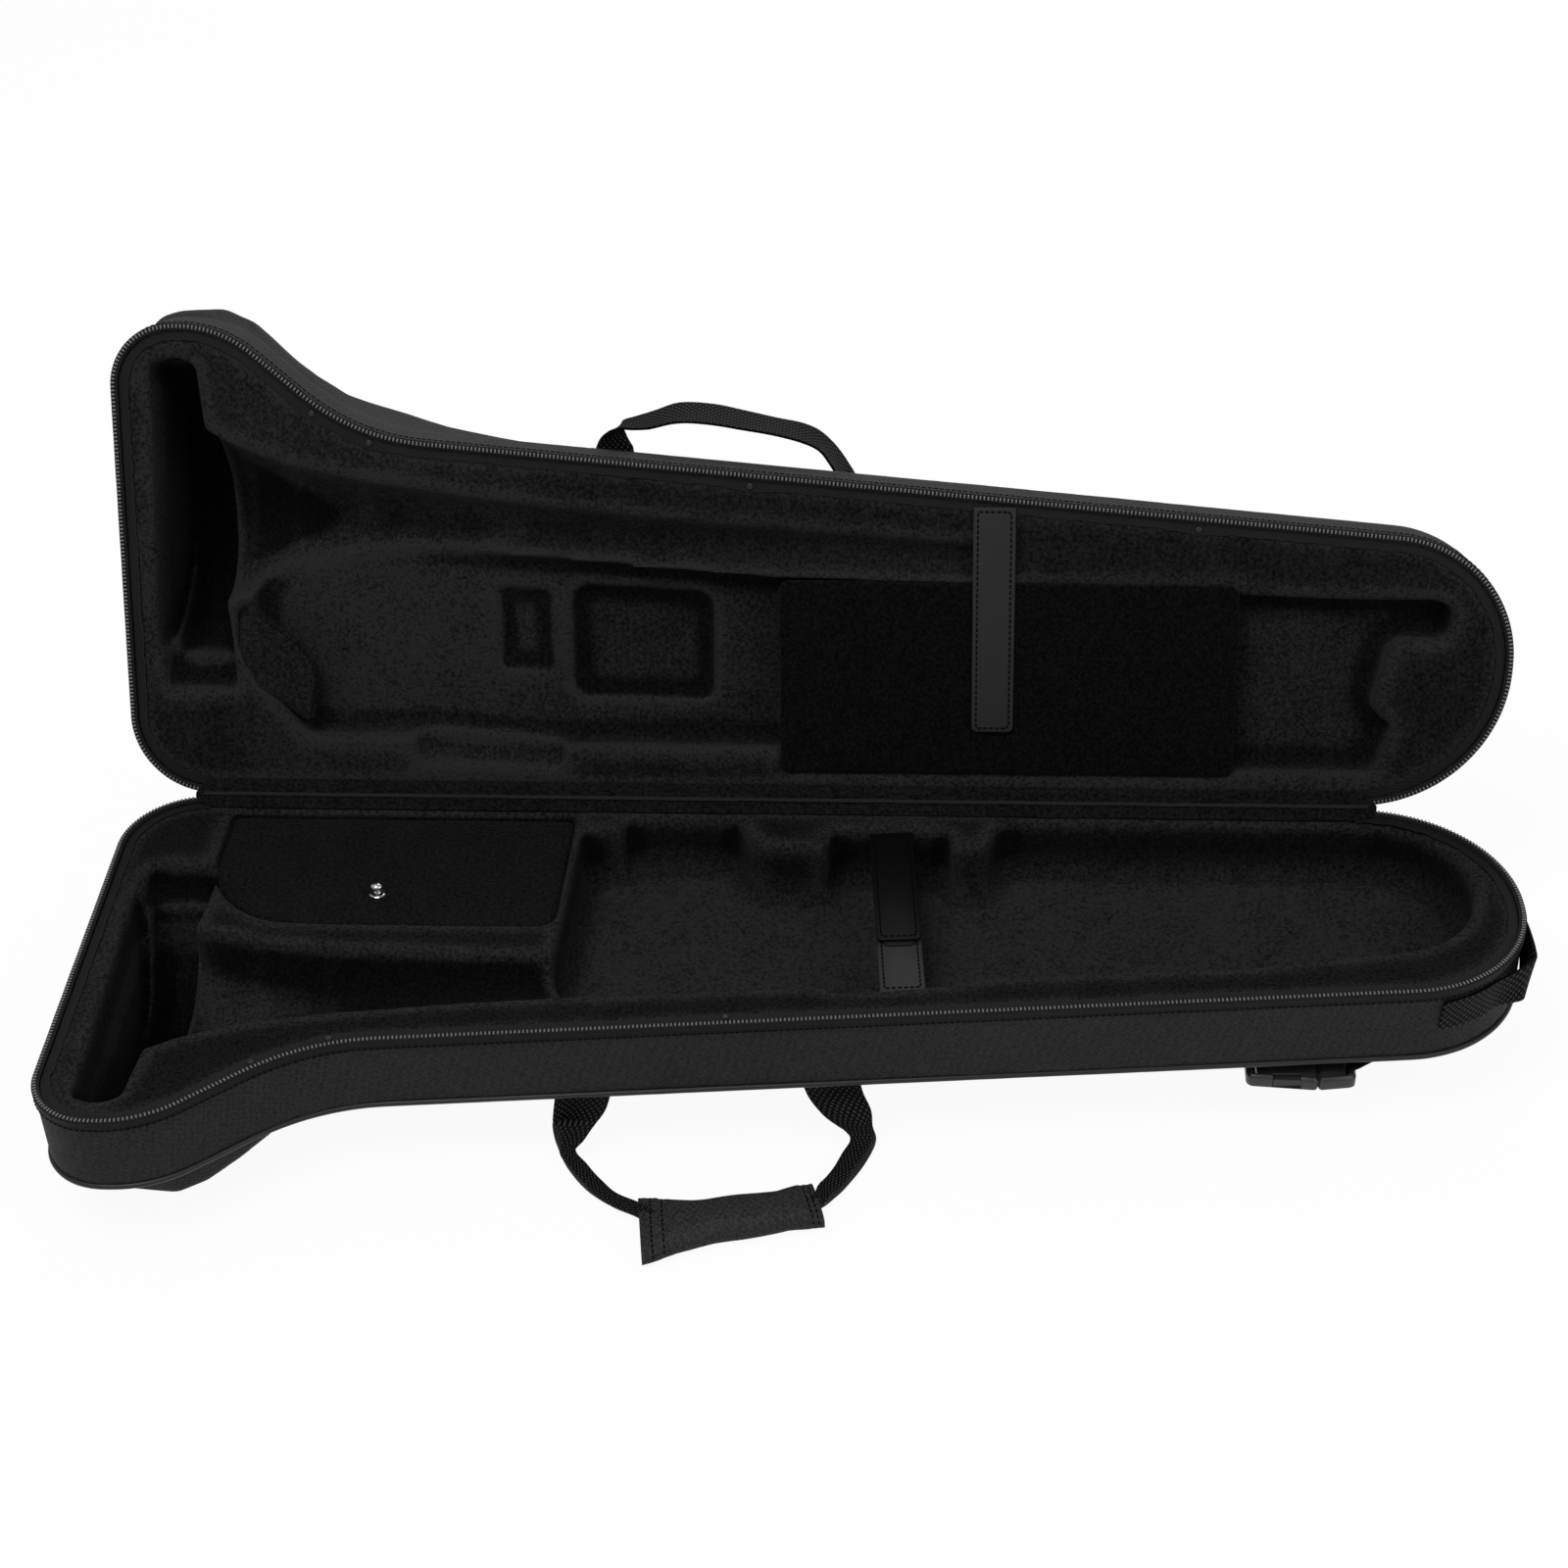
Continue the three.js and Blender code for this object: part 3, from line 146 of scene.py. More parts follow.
class CaseColours(bpy.types.PropertyGroup):
    twill: colour_setting("Twill", "Outer nylon twill", "#1d1d1d")
    plush: colour_setting("Plush", "Short pile of the linings", "#1b1b1b")
    leatherette: colour_setting("Leatherette", "Coated fabric of the straps", "#1e1e1e")
    webbing: colour_setting("Webbing", "Woven polypropylene of the handles", "#0c0c0c")
    tape: colour_setting("Zipper tape", "Woven tape of the zipper", "#0c0c0c")
    # The coil's grey is partly its own colour and partly a painted highlight that makes its turns read as lit
    coil: colour_setting("Zipper coil", "Nylon coil of the zipper", "#606062")
    ribbon: colour_setting("Ribbon", "Binding between shells and linings", "#202020")
    acetal: colour_setting("Buckle", "Moulded acetal of the buckle", "#222224")
    thread: colour_setting("Thread", "Sewing thread", "#040404")
    floor: colour_setting("Floor", "Floor and background", "#ffffff")


# Small helpers


def deselect():
    if bpy.context.object and bpy.context.object.mode != "OBJECT":
        bpy.ops.object.mode_set(mode="OBJECT")
    bpy.ops.object.select_all(action="DESELECT")


def choose(piece):
    deselect()
    piece.select_set(True)
    bpy.context.view_layer.objects.active = piece


@contextmanager
def editing(piece, kind="VERT", action="SELECT"):
    """Edit mode on a piece, with all or none of its points, edges or faces selected to begin with."""
    choose(piece)
    bpy.ops.object.mode_set(mode="EDIT")
    bpy.ops.mesh.select_mode(type=kind)
    bpy.ops.mesh.select_all(action=action)
    yield
    bpy.ops.object.mode_set(mode="OBJECT")


def named(piece, name):
    piece.name = name
    piece.data.name = name
    return piece


def linked(name, data):
    """A new object in the scene with the given data."""
    piece = bpy.data.objects.new(name, data)
    bpy.context.scene.collection.objects.link(piece)
    return piece


def read_points(piece, what="co"):
    """The places or the normals of a piece's points, one row each."""
    values = np.empty(len(piece.data.vertices) * 3)
    piece.data.vertices.foreach_get(what, values)
    return values.reshape(-1, 3)


def place_points(piece, values):
    piece.data.vertices.foreach_set("co", np.asarray(values, float).ravel())
    piece.data.update()


def finish_with(piece, kind, **settings):
    """Adds a modifier with its settings and applies it."""
    choose(piece)
    modifier = piece.modifiers.new(kind.title(), kind)
    for key, value in settings.items():
        setattr(modifier, key, value)
    bpy.ops.object.modifier_apply(modifier=modifier.name)
    return piece


def eased(piece, width, segments=2, degrees=40):
    """Bevels the edges that are sharper than an angle."""
    limit = {"limit_method": "ANGLE", "angle_limit": math.radians(degrees)}
    return finish_with(piece, "BEVEL", width=width, segments=segments, **limit)


def rounded(piece, voxel, rounds):
    """Rounds a piece all over with a voxel remesh and some smoothing."""
    finish_with(piece, "REMESH", mode="VOXEL", voxel_size=voxel)
    return finish_with(piece, "SMOOTH", factor=0.5, iterations=rounds)


def smooth_shade(piece, degrees=None):
    choose(piece)
    if degrees is None:
        bpy.ops.object.shade_smooth()
    else:
        bpy.ops.object.shade_smooth_by_angle(angle=math.radians(degrees))
    return piece


def settle(piece, half):
    """Moves a piece from its half's frame to its place, and turns mirrored faces out again."""
    place = HALVES[half]["place"]
    piece.data.transform(piece.matrix_world)
    piece.matrix_world = Matrix.Identity(4)
    piece.data.transform(place)
    if place.determinant() < 0:
        piece.data.flip_normals()
    piece.data.update()
    return piece


def half_copy(node, half, name):
    """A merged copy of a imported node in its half's frame."""
    choose(NODES[node])
    bpy.ops.object.duplicate()
    piece = bpy.context.object
    piece.parent = None
    for key in list(piece.keys()):
        if key.startswith("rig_"):
            del piece[key]
    piece.data = piece.data.copy()
    piece.matrix_world = Matrix.Identity(4)
    place = HALVES[half]["place"]
    piece.data.transform(place.inverted())
    if place.determinant() < 0:
        piece.data.flip_normals()
    with editing(named(piece, name)):
        bpy.ops.mesh.remove_doubles(threshold=2e-6)
        bpy.ops.mesh.tris_convert_to_quads()
    return piece


def eased_copy(node, half, name, width, segments=2, degrees=40):
    """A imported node's copy in its place, with eased edges."""
    piece = eased(half_copy(node, half, name), width, segments, degrees)
    return settle(smooth_shade(piece, 40), half)


def paint(piece, material):
    piece.data.materials.clear()
    piece.data.materials.append(MATERIALS[material])
    return piece


def dress(piece, material, slot, body, *nodes, fill=None):
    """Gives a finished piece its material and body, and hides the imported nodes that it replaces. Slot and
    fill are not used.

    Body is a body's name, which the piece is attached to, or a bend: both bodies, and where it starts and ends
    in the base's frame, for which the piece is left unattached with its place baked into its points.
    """
    paint(piece, material)
    if nodes:
        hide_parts(*nodes)
    if isinstance(body, str):
        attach(piece, body)
    else:
        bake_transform(piece)


def lerp(a, b, share):
    return a + (b - a) * share


def ramp(values, start, end):
    """Rises from 0 at start to 1 at end, and stays there."""
    return np.clip((values - start) / (end - start), 0, 1)


def wavy(place, size, seed):
    """A smooth value from -1 to 1 that changes over the given size."""
    return noise.noise(Vector(place) / size + Vector((seed, seed * 1.7, -seed)))


def running(points):
    """How far along a polyline each of its points is."""
    steps = [0.0]
    for a, b in zip(points, points[1:]):
        steps.append(steps[-1] + (b - a).length)
    return steps


def heading(points, i):
    """The direction in which an open line runs at one of its points."""
    return (points[min(i + 1, len(points) - 1)] - points[max(i - 1, 0)]).normalized()


def even(points, spacing, closed=False):
    """Points at an even spacing along a polyline, with how far along each is."""
    route = list(points) + ([points[0]] if closed else [])
    steps = running(route)
    count = max(2, round(steps[-1] / spacing))
    wanted = [steps[-1] * i / count for i in range(count + (0 if closed else 1))]
    flat = np.array([tuple(p) for p in route], float)
    out = [np.interp(wanted, steps, flat[:, k]) for k in range(flat.shape[1])]
    return [Vector(row) for row in zip(*out)], wanted


def spline(points, steps):
    """Points of a smooth curve through the given ones, with chord-root spacing."""
    p = [Vector(v) for v in points]
    p = [p[0] * 2 - p[1]] + p + [p[-1] * 2 - p[-2]]
    out = []
    for s in range(steps + 1):
        t = s / steps * (len(p) - 3)
        i = min(int(t), len(p) - 4)
        near = p[i : i + 4]
        knots = [0.0]
        for a, b in zip(near, near[1:]):
            knots.append(knots[-1] + max((b - a).length, 1e-6) ** 0.5)
        x = lerp(knots[1], knots[2], t - i)

        def between(a, b, low, high):
            return a * ((high - x) / (high - low)) + b * ((x - low) / (high - low))

        ones = [between(near[k], near[k + 1], knots[k], knots[k + 1]) for k in range(3)]
        twos = [between(ones[k], ones[k + 1], knots[k], knots[k + 2]) for k in range(2)]
        out.append(between(*twos, knots[1], knots[2]))
    return out


def outline(inset):
    """The outline's points in millimetres, moved inwards and rounded, anticlockwise from above."""
    here = [Vector((x, -v)) for x, v, _ in OUTLINE_CORNERS]
    sides = []
    for a, b in zip(here, here[1:] + here[:1]):
        along = (b - a).normalized()
        sides.append((a + Vector((-along.y, along.x)) * inset, along))
    points = []
    for i, (_, _, radius) in enumerate(OUTLINE_CORNERS):
        (a, before), (b, after) = sides[i - 1], sides[i]
        turn = before.x * after.y - before.y * after.x
        place = a + before * (((b.x - a.x) * after.y - (b.y - a.y) * after.x) / turn)
        radius = max(radius - math.copysign(inset, turn), GAP)
        angle = math.acos(max(-1, min(1, before.dot(after))))
        start = place - before * (radius * math.tan(angle / 2))
        arm = Vector((before.y, -before.x)) * math.copysign(radius, turn)
        steps = max(2, math.ceil(angle / CORNER_STEP))
        for k in range(steps + 1):
            bend = math.copysign(angle * k / steps, turn)
            c, s = math.cos(bend), math.sin(bend)
            points.append(start - arm + Vector((arm.x * c - arm.y * s, arm.x * s + arm.y * c)))
    return points


def width_at(along):
    """Distance from the hinge line to the straight-sided front edge, in millimetres."""
    places = [SHOULDER_PLACE, THROAT_PLACE, CASE_LENGTH]
    return float(np.interp(along, places, [BELL_END_WIDTH, THROAT_WIDTH, TAIL_WIDTH]))


def rim_path(inset, spacing, closed=False):
    """Even stations round the outline: place, way out and distance along; the hinge edge counts if closed."""
    points, along = even(outline(inset), spacing, closed)
    ring = [points[-1], *points, points[0]] if closed else [points[0], *points, points[-1]]
    stations = []
    for before, place, after, reach in zip(ring, points, ring[2:], along):
        ahead = (after - before).normalized()
        stations.append((place, Vector((ahead.y, -ahead.x)), reach))
    return stations


def beside(place, out, reach, height):
    """The point in metres that is so many millimetres out from a station, at a height in millimetres."""
    return Vector((place.x + out.x * reach, place.y + out.y * reach, height)) * MM


def circle_round(at, side, up, radius, count):
    """Points in metres of a circle round a place in millimetres."""
    turns = [2 * math.pi * k / count for k in range(count)]
    return [(at + (side * math.cos(a) + up * math.sin(a)) * radius) * MM for a in turns]


def swept(name, rings, round_section=False, round_path=False, along=None):
    """A strip or tube through rings of points, from a grid whose rows are the rings, with UVs in metres."""
    deselect()
    wide, high = len(rings[0]) + round_section, len(rings) + round_path
    bpy.ops.mesh.primitive_grid_add(x_subdivisions=wide - 1, y_subdivisions=high - 1, size=1)
    piece = named(bpy.context.object, name)
    across = running(rings[0] + rings[0][:1])
    along = along or running([ring[0] for ring in rings])
    along = [*along, along[-1] + along[1] - along[0]]
    rings = [ring + ring[:1] * round_section for ring in rings + rings[:1] * round_path]
    place_points(piece, [tuple(p) for ring in rings for p in ring])
    layer = piece.data.uv_layers.active or piece.data.uv_layers.new(name="UVMap")
    for loop in piece.data.loops:
        row, column = divmod(loop.vertex_index, wide)
        layer.data[loop.index].uv = (across[column], along[row])
    with editing(piece):
        if round_section or round_path:
            bpy.ops.mesh.remove_doubles(threshold=1e-7)
        if round_section and not round_path:
            bpy.ops.mesh.select_mode(type="EDGE")
            bpy.ops.mesh.select_all(action="DESELECT")
            bpy.ops.mesh.select_non_manifold()
            bpy.ops.mesh.fill_holes(sides=0)
            bpy.ops.mesh.select_mode(type="VERT")
            bpy.ops.mesh.select_all(action="SELECT")
        if round_section:
            bpy.ops.mesh.normals_make_consistent(inside=False)
    return piece


def short_rod(radius, length, bevel):
    """A six-sided rod along x with eased ends, which is copied as a stitch or as a turn of the coil."""
    deselect()
    turn = (0, math.pi / 2, 0)
    bpy.ops.mesh.primitive_cylinder_add(vertices=6, radius=radius, depth=length, rotation=turn)
    bpy.ops.object.transform_apply(location=True, rotation=True, scale=True)
    return eased(bpy.context.object, bevel, 1, 30)


def copies(name, model, places):
    """One object with a copy of a modelled shape at each place; the model is removed."""
    base = read_points(model)
    faces = [tuple(p.vertices) for p in model.data.polygons]
    grid = np.c_[base, np.ones(len(base))]
    points = np.concatenate([(grid @ np.array(m).T)[:, :3] for m in places])
    all_faces = [tuple(v + k * len(base) for v in f) for k in range(len(places)) for f in faces]
    mesh = bpy.data.meshes.new(name)
    mesh.from_pydata(points.tolist(), [], all_faces)
    bpy.data.objects.remove(model)
    return smooth_shade(linked(name, mesh), 50)


def turned_to(place, along, up=UP):
    """A matrix whose x runs along, z up and whose origin is the place."""
    x = Vector(along).normalized()
    y = up.cross(x).normalized()
    return Matrix.Translation(place) @ Matrix((x, y, x.cross(y))).transposed().to_4x4()


# Length and thickness of a stitch in metres: threads are 0.4 mm thick, drawn thicker so that they show
FINE_THREAD = (0.0026, 0.0009)
TAPE_THREAD = (0.0029, 0.0009)
BOLD_THREAD = (0.0028, 0.0014)


def stitches(name, route, length, thickness):
    """A row of thread stitches along a route of points, half sunk into what they are sewn through."""
    points, _ = even(route, bpy.context.scene.case_sizes.stitch_pitch)
    places = [turned_to((a + b) / 2, b - a) for a, b in zip(points, points[1:])]
    return copies(name, short_rod(thickness / 2, length, thickness * 0.3), places)


# Materials


def add_node(tree, kind, out=0, **facts):
    """Adds a shader node and returns one of its outputs, or the node itself where out is None.

    Facts in small letters are the node's settings. Numbered and capitalised ones are its inputs, each with a
    value or with the output that is linked to it.
    """
    node = tree.nodes.new("ShaderNode" + kind)
    for key, value in facts.items():
        numbered = key[0] == "i" and key[1:].isdigit()
        if key[0].islower() and not numbered:
            setattr(node, key, value)
            continue
        socket = node.inputs[int(key[1:]) if numbered else key.replace("_", " ")]
        if isinstance(value, bpy.types.NodeSocket):
            tree.links.new(value, socket)
        else:
            socket.default_value = value
    return node if out is None else node.outputs[out]


def total(tree, start, *pairs):
    """The start plus each value times its weight."""
    for value, weight in pairs:
        start = add_node(tree, "Math", operation="MULTIPLY_ADD", i0=value, i1=weight, i2=start)
    return start


def lattice(tree, place, pitch_a, pitch_b, turn):
    """Height of two crossed sets of threads, each a sine wave, from a coordinate output."""
    turned = add_node(tree, "Mapping", Vector=place, Rotation=turn)
    parts = add_node(tree, "SeparateXYZ", None, Vector=turned)
    waves = []
    for axis, pitch in zip(parts.outputs, (pitch_a, pitch_b)):
        angle = add_node(tree, "Math", operation="MULTIPLY", i0=axis, i1=2 * math.pi / pitch)
        waves.append(add_node(tree, "Math", operation="SINE", i0=angle))
    both = add_node(tree, "Math", operation="ADD", i0=waves[0], i1=waves[1])
    return add_node(tree, "MapRange", Value=both, From_Min=-2.0, From_Max=2.0)


def grain(tree, place, size, detail=2.0, roughness=0.5, reach=None):
    """Noise whose grains are about the given size in metres, spread from the reach's values to 0 and 1."""
    facts = {"Vector": place, "Scale": 1 / size, "Detail": detail, "Roughness": roughness}
    value = add_node(tree, "TexNoise", **facts)
    return add_node(tree, "MapRange", Value=value, From_Min=reach[0], From_Max=reach[1]) if reach else value


def new_material(name, pattern, colour, shades, roughness, gloss, relief, source, extra):
    """A material on a principled surface, with its pattern on Object or UV coordinates.

    The pattern gives the tone, from the colour's darker shade to its lighter one, then the height and the
    roughness if it has them. Relief is the height's distance in metres and its strength.
    """
    material = bpy.data.materials.new(name)
    material.use_nodes = True
    tree = material.node_tree
    shader = tree.nodes["Principled BSDF"]
    for key, value in {"Roughness": roughness, "Specular IOR Level": gloss, **extra}.items():
        shader.inputs[key].default_value = value
    tone, height, rough = pattern(tree, add_node(tree, "TexCoord", source))
    dark, light = (tuple(min(1, c * share) for c in colour) + (1,) for share in shades)
    links = {"Base Color": add_node(tree, "Mix", 2, data_type="RGBA", i0=tone, i6=dark, i7=light)}
    if relief:
        distance, strength = relief
        links["Normal"] = add_node(tree, "Bump", Strength=strength, Distance=distance, Height=height)
    if rough:
        links["Roughness"] = rough
    for key, value in links.items():
        tree.links.new(value, shader.inputs[key])
    return material


def nylon_twill(tree, place):
    """Nylon twill with a coated back: dull, fine diagonal ribs, faint mottling where it is stretched."""
    # The yarns are 0.5 mm apart, drawn at 3 mm so that they show in a picture of the whole case
    weave = lattice(tree, place, 0.0030, 0.0041, (0.62, 0.5, 0.7))
    mottle = grain(tree, place, 0.045, 3.0, reach=(0.25, 0.75))
    fuzz = grain(tree, place, 0.0019, 2.0, 0.7, reach=(0.36, 0.64))
    tone = total(tree, 0.0, (weave, 0.3), (mottle, 0.2), (fuzz, 0.8))
    return tone, total(tree, weave, (fuzz, 0.5)), None


def plush_velour(tree, place):
    """Knitted velour with a short pile laid by brushing: no gloss, a soft sheen at grazing angles, random
    patches of lighter pile, and painted light and shade from the lining's points.
    """
    # The pile's tufts are 0.4 mm, drawn at 2.6 mm so that they show in a picture of the whole case
    pile = grain(tree, place, 0.0026, 2.0, 0.75, reach=(0.36, 0.64))
    nap_and_painted_light = grain(tree, place, 0.028, 4.0, 0.6, reach=(0.25, 0.75))
    # Painted light and shade stored on the piece's points, which scales the pile's colour
    painted_light_value = add_node(tree, "Attribute", "Fac", attribute_name="nap_and_painted_light")
    lit_patches = total(tree, 0.0, (total(tree, 0.75, (nap_and_painted_light, 0.5)), painted_light_value))
    tufts = total(tree, -0.5, (pile, 1.0))
    lively = total(tree, 0.12, (painted_light_value, 1.1))
    return total(tree, lit_patches, (tufts, lively)), pile, None


def leatherette(tree, place):
    """Vinyl-coated fabric: a fine pebble grain under a satin coat."""
    # Pebbles of 0.8 mm
    pebble = add_node(tree, "TexVoronoi", "Distance", Vector=place, Scale=1 / 0.0008)
    return grain(tree, place, 0.02, 3.0), pebble, None


def polypropylene(tree, place):
    """Woven polypropylene: raised cells in a diagonal grid, lighter where the cells stand highest, from the
    strip's UVs.
    """
    # Cells of 2.4 mm, drawn at 3.4 mm so that they show in a picture of the whole case
    cells = lattice(tree, place, 0.0034, 0.0034, (0, 0, math.radians(45)))
    crowns = add_node(tree, "MapRange", Value=cells, From_Min=0.6, From_Max=0.95)
    return crowns, total(tree, cells, (grain(tree, place, 0.0006, 1.0), 0.15)), None


def woven_tape(pitch):
    """Narrow woven tape: fine ribs across it, from the strip's UVs."""

    def ribbed(tree, place):
        ribs = lattice(tree, place, pitch * 1.5, pitch, (0, 0, math.radians(20)))
        return ribs, ribs, None

    return ribbed


def nylon_coil(tree, place):
    """Drawn nylon monofilament: smooth and glossy."""
    return grain(tree, place, 0.004), None, None


def moulded_acetal(tree, place):
    """Moulded acetal: satin with a faint ripple from the mould and fine scuffs."""
    scuff = grain(tree, place, 0.002, 4.0, 0.7)
    return scuff, scuff, None


def chromed_steel(tree, place):
    """Chrome plate on steel: mirror bright, with hairlines from handling."""
    lines = grain(tree, place, 0.0006, 3.0)
    return lines, None, add_node(tree, "MapRange", Value=lines, To_Min=0.08, To_Max=0.2)


def sewing_thread(tree, place):
    """Twisted polyester thread: dull, with a slanted twist."""
    return lattice(tree, place, 0.0009, 0.0013, (0.4, 0.3, 0.6)), None, None


def glossy_cord(tree, place):
    """Welt of coated fabric round a cord: smooth with a soft gloss."""
    return grain(tree, place, 0.012, 3.0), grain(tree, place, 0.003, 2.0), None


def studio_white(colour):
    """Painted studio floor. The camera, mirrors and clear plastic see it white, with a faint shadow left."""
    material = bpy.data.materials.new("studio_white")
    material.use_nodes = True
    tree = material.node_tree
    tree.nodes.clear()
    matte = add_node(tree, "BsdfDiffuse", Color=tuple(0.88 * c for c in colour) + (1,), Roughness=0.5)
    light = add_node(tree, "Emission", Color=tuple(colour) + (1,), Strength=1.0)
    ray = add_node(tree, "LightPath", None)
    seen = ray.outputs["Is Camera Ray"]
    for kind in ("Is Glossy Ray", "Is Transmission Ray"):
        seen = add_node(tree, "Math", operation="MAXIMUM", i0=seen, i1=ray.outputs[kind])
    share = add_node(tree, "Math", operation="MULTIPLY", i0=seen, i1=0.94)
    mix = add_node(tree, "MixShader", Fac=share, i1=matte, i2=light)
    add_node(tree, "OutputMaterial", None, Surface=mix)
    return material


MATERIALS = {}
TWILL_RELIEF = (0.0004, 0.7)
VINYL_RELIEF = (0.0001, 0.5)
TAPE_RELIEF = (0.0003, 0.7)
RIBBON_PITCH = 0.0018
# Finishes whose pattern follows the strip, and what some finishes add
ALONG_STRIPS = ("webbing", "tape", "ribbon", "dark_ribbon")
EXTRAS = {
    "plush": {"Sheen Weight": 0.04, "Sheen Roughness": 0.5, "Sheen Tint": (0.5, 0.5, 0.5, 1)},
    "coil": {"IOR": 1.53},
    "acetal": {"IOR": 1.48},
    "chrome": {"Metallic": 1.0},
}


def make_materials():
    tones = bpy.context.scene.case_colours
    lighter_twill = [1.35 * c for c in tones.twill]
    darker_ribbon = [0.35 * c for c in tones.ribbon]
    darker_vinyl = [0.12 * c for c in tones.leatherette]
    chrome = linear("#d4d6d8")
    # Each finish: name, pattern, colour, darker and lighter share of it, roughness, specular level and relief
    rows = {
        "twill": ("nylon_twill", nylon_twill, tones.twill, (0.1, 1.75), 0.75, 0.22, TWILL_RELIEF),
        "grip": ("grip_twill", nylon_twill, lighter_twill, (0.1, 1.75), 0.75, 0.22, TWILL_RELIEF),
        "plush": ("plush_velour", plush_velour, tones.plush, (0.1, 1.9), 1.0, 0.04, (0.0008, 0.7)),
        "leatherette": ("leatherette", leatherette, tones.leatherette, (0.85, 1.2), 0.5, 0.25, VINYL_RELIEF),
        "strap_back": ("strap_back", leatherette, darker_vinyl, (0.85, 1.2), 0.5, 0.15, VINYL_RELIEF),
        "webbing": ("webbing", polypropylene, tones.webbing, (0.3, 13.0), 0.6, 0.08, (0.0006, 0.9)),
        "tape": ("zipper_tape", woven_tape(0.0014), tones.tape, (0.88, 1.12), 0.7, 0.2, TAPE_RELIEF),
        "coil": ("nylon_coil", nylon_coil, tones.coil, (0.8, 1.15), 0.25, 0.5, None),
        "acetal": ("acetal", moulded_acetal, tones.acetal, (0.9, 1.15), 0.38, 0.5, (0.00005, 0.4)),
        "chrome": ("chromed_steel", chromed_steel, chrome, (0.92, 1.0), 0.12, 0.5, None),
        "thread": ("sewing_thread", sewing_thread, tones.thread, (0.8, 1.2), 0.8, 0.05, None),
        "welt": ("welt", glossy_cord, tones.twill, (0.85, 1.2), 0.42, 0.35, (0.0002, 0.4)),
    }
    for key, name, colour in (
        ("ribbon", "binding_ribbon", tones.ribbon),
        ("dark_ribbon", "dark_ribbon", darker_ribbon),
    ):
        rows[key] = (name, woven_tape(RIBBON_PITCH), colour, (0.88, 1.12), 0.7, 0.2, TAPE_RELIEF)
    for key, facts in rows.items():
        source = "UV" if key in ALONG_STRIPS else "Object"
        MATERIALS[key] = new_material(*facts, source, EXTRAS.get(key, {}))
    MATERIALS["floor"] = studio_white(tones.floor)


# Shells and linings

# How far the lid's bulge reaches past its packed far side: places along in metres, and reach
BULGE_PLACES = [0.008, 0.03, 0.05, 0.07, 0.09, 0.112, 0.135, 0.17]
BULGE_REACH = [0, 0.006, 0.002, -0.003, -0.005, 0, 0.004, 0]
BULGE_SHIFTS = (-0.01, -0.005, 0, 0.005, 0.01)
BULGE_SWELL = 0.005
# Unevenness of faces: its amount and size in metres, and its seed
UNEVEN_SHELL = (0.0006, 0.09, 3)
UNEVEN_LINING = (0.0006, 0.05, 7)
UNEVEN_PACK = (0.0012, 0.05, 21)
# How far the shell's rim is drawn up before it is rounded and cut off level, in metres
COLLAR = 0.014
# Painted light and shade: how bright the pile is painted at each depth below the rim, in metres, darker on the
# deepest floors
DEPTH_LIGHT_AND_SHADE = {
    "base": ([0, 0.008, 0.03, 0.04, 0.05, 0.06, 0.1], [0.2, 0.18, 0.2, 0.85, 0.85, 0.3, 0.15]),
    "lid": ([0, 0.005, 0.012, 0.03, 0.036, 0.039, 0.1], [0.24, 0.34, 0.85, 0.52, 0.5, 0.2, 0.1]),
}
# Painted light: how much brighter the pile is painted round the lid's throat, by place along in metres
THROAT_LIGHT = ([0.07, 0.1, 0.28, 0.34], [1, 1.6, 1.6, 1])
# Painted highlight on bulging lips and painted shade in hollows: how much a lip's bulging brightens it, within
# limits
LIP_LIGHT_AND_SHADE = 5500
LIP_LIMITS = (-0.4, 0.5)
PAINTED_LIGHT_LIMITS = (0.05, 1.2)


def keep_outer_island(piece):
    """Splits a mesh into its loose parts and keeps the one with the longest reach."""
    name = piece.name
    with editing(piece):
        bpy.ops.mesh.separate(type="LOOSE")
    parts = list(bpy.context.selected_objects)
    best = max(parts, key=lambda part: sum(part.dimensions))
    for part in parts:
        if part is not best:
            bpy.data.objects.remove(part)
    return named(best, name)


def fill_out(piece):
    """Stretches the bulge's far end corner sideways, where the foam presses against the fabric."""
    values = read_points(piece)
    along, setback, depth = values[:, 0], -values[:, 1], -values[:, 2]
    sideways = read_points(piece, "normal") * (1, 1, 0)
    share = ramp(depth, 0.055, 0.085) * ramp(along, 0.12, 0.07) * ramp(setback, 0.26, 0.3)
    far = ramp(depth, 0.05, 0.08) * ramp(setback, 0.24, 0.3)
    values += sideways * (BULGE_SWELL * share * share * (3 - 2 * share))[:, None]
    reach = [np.interp(along + shift, BULGE_PLACES, BULGE_REACH) for shift in BULGE_SHIFTS]
    values[:, 1] -= np.mean(reach, axis=0) * far
    place_points(piece, values)


def ripple(piece, amount, size, seed):
    """Moves points along their normals by a smooth uneven amount."""
    values = read_points(piece)
    lift = np.array([wavy(p, size, seed) for p in values]) * amount
    place_points(piece, values + read_points(piece, "normal") * lift[:, None])


def above_floor(piece):
    """Lifts points of a piece in the base's frame that lie under the floor."""
    values = read_points(piece)
    values[:, 2] = np.maximum(values[:, 2], FLOOR_LEVEL * MM + 0.0001)
    place_points(piece, values)
    return piece


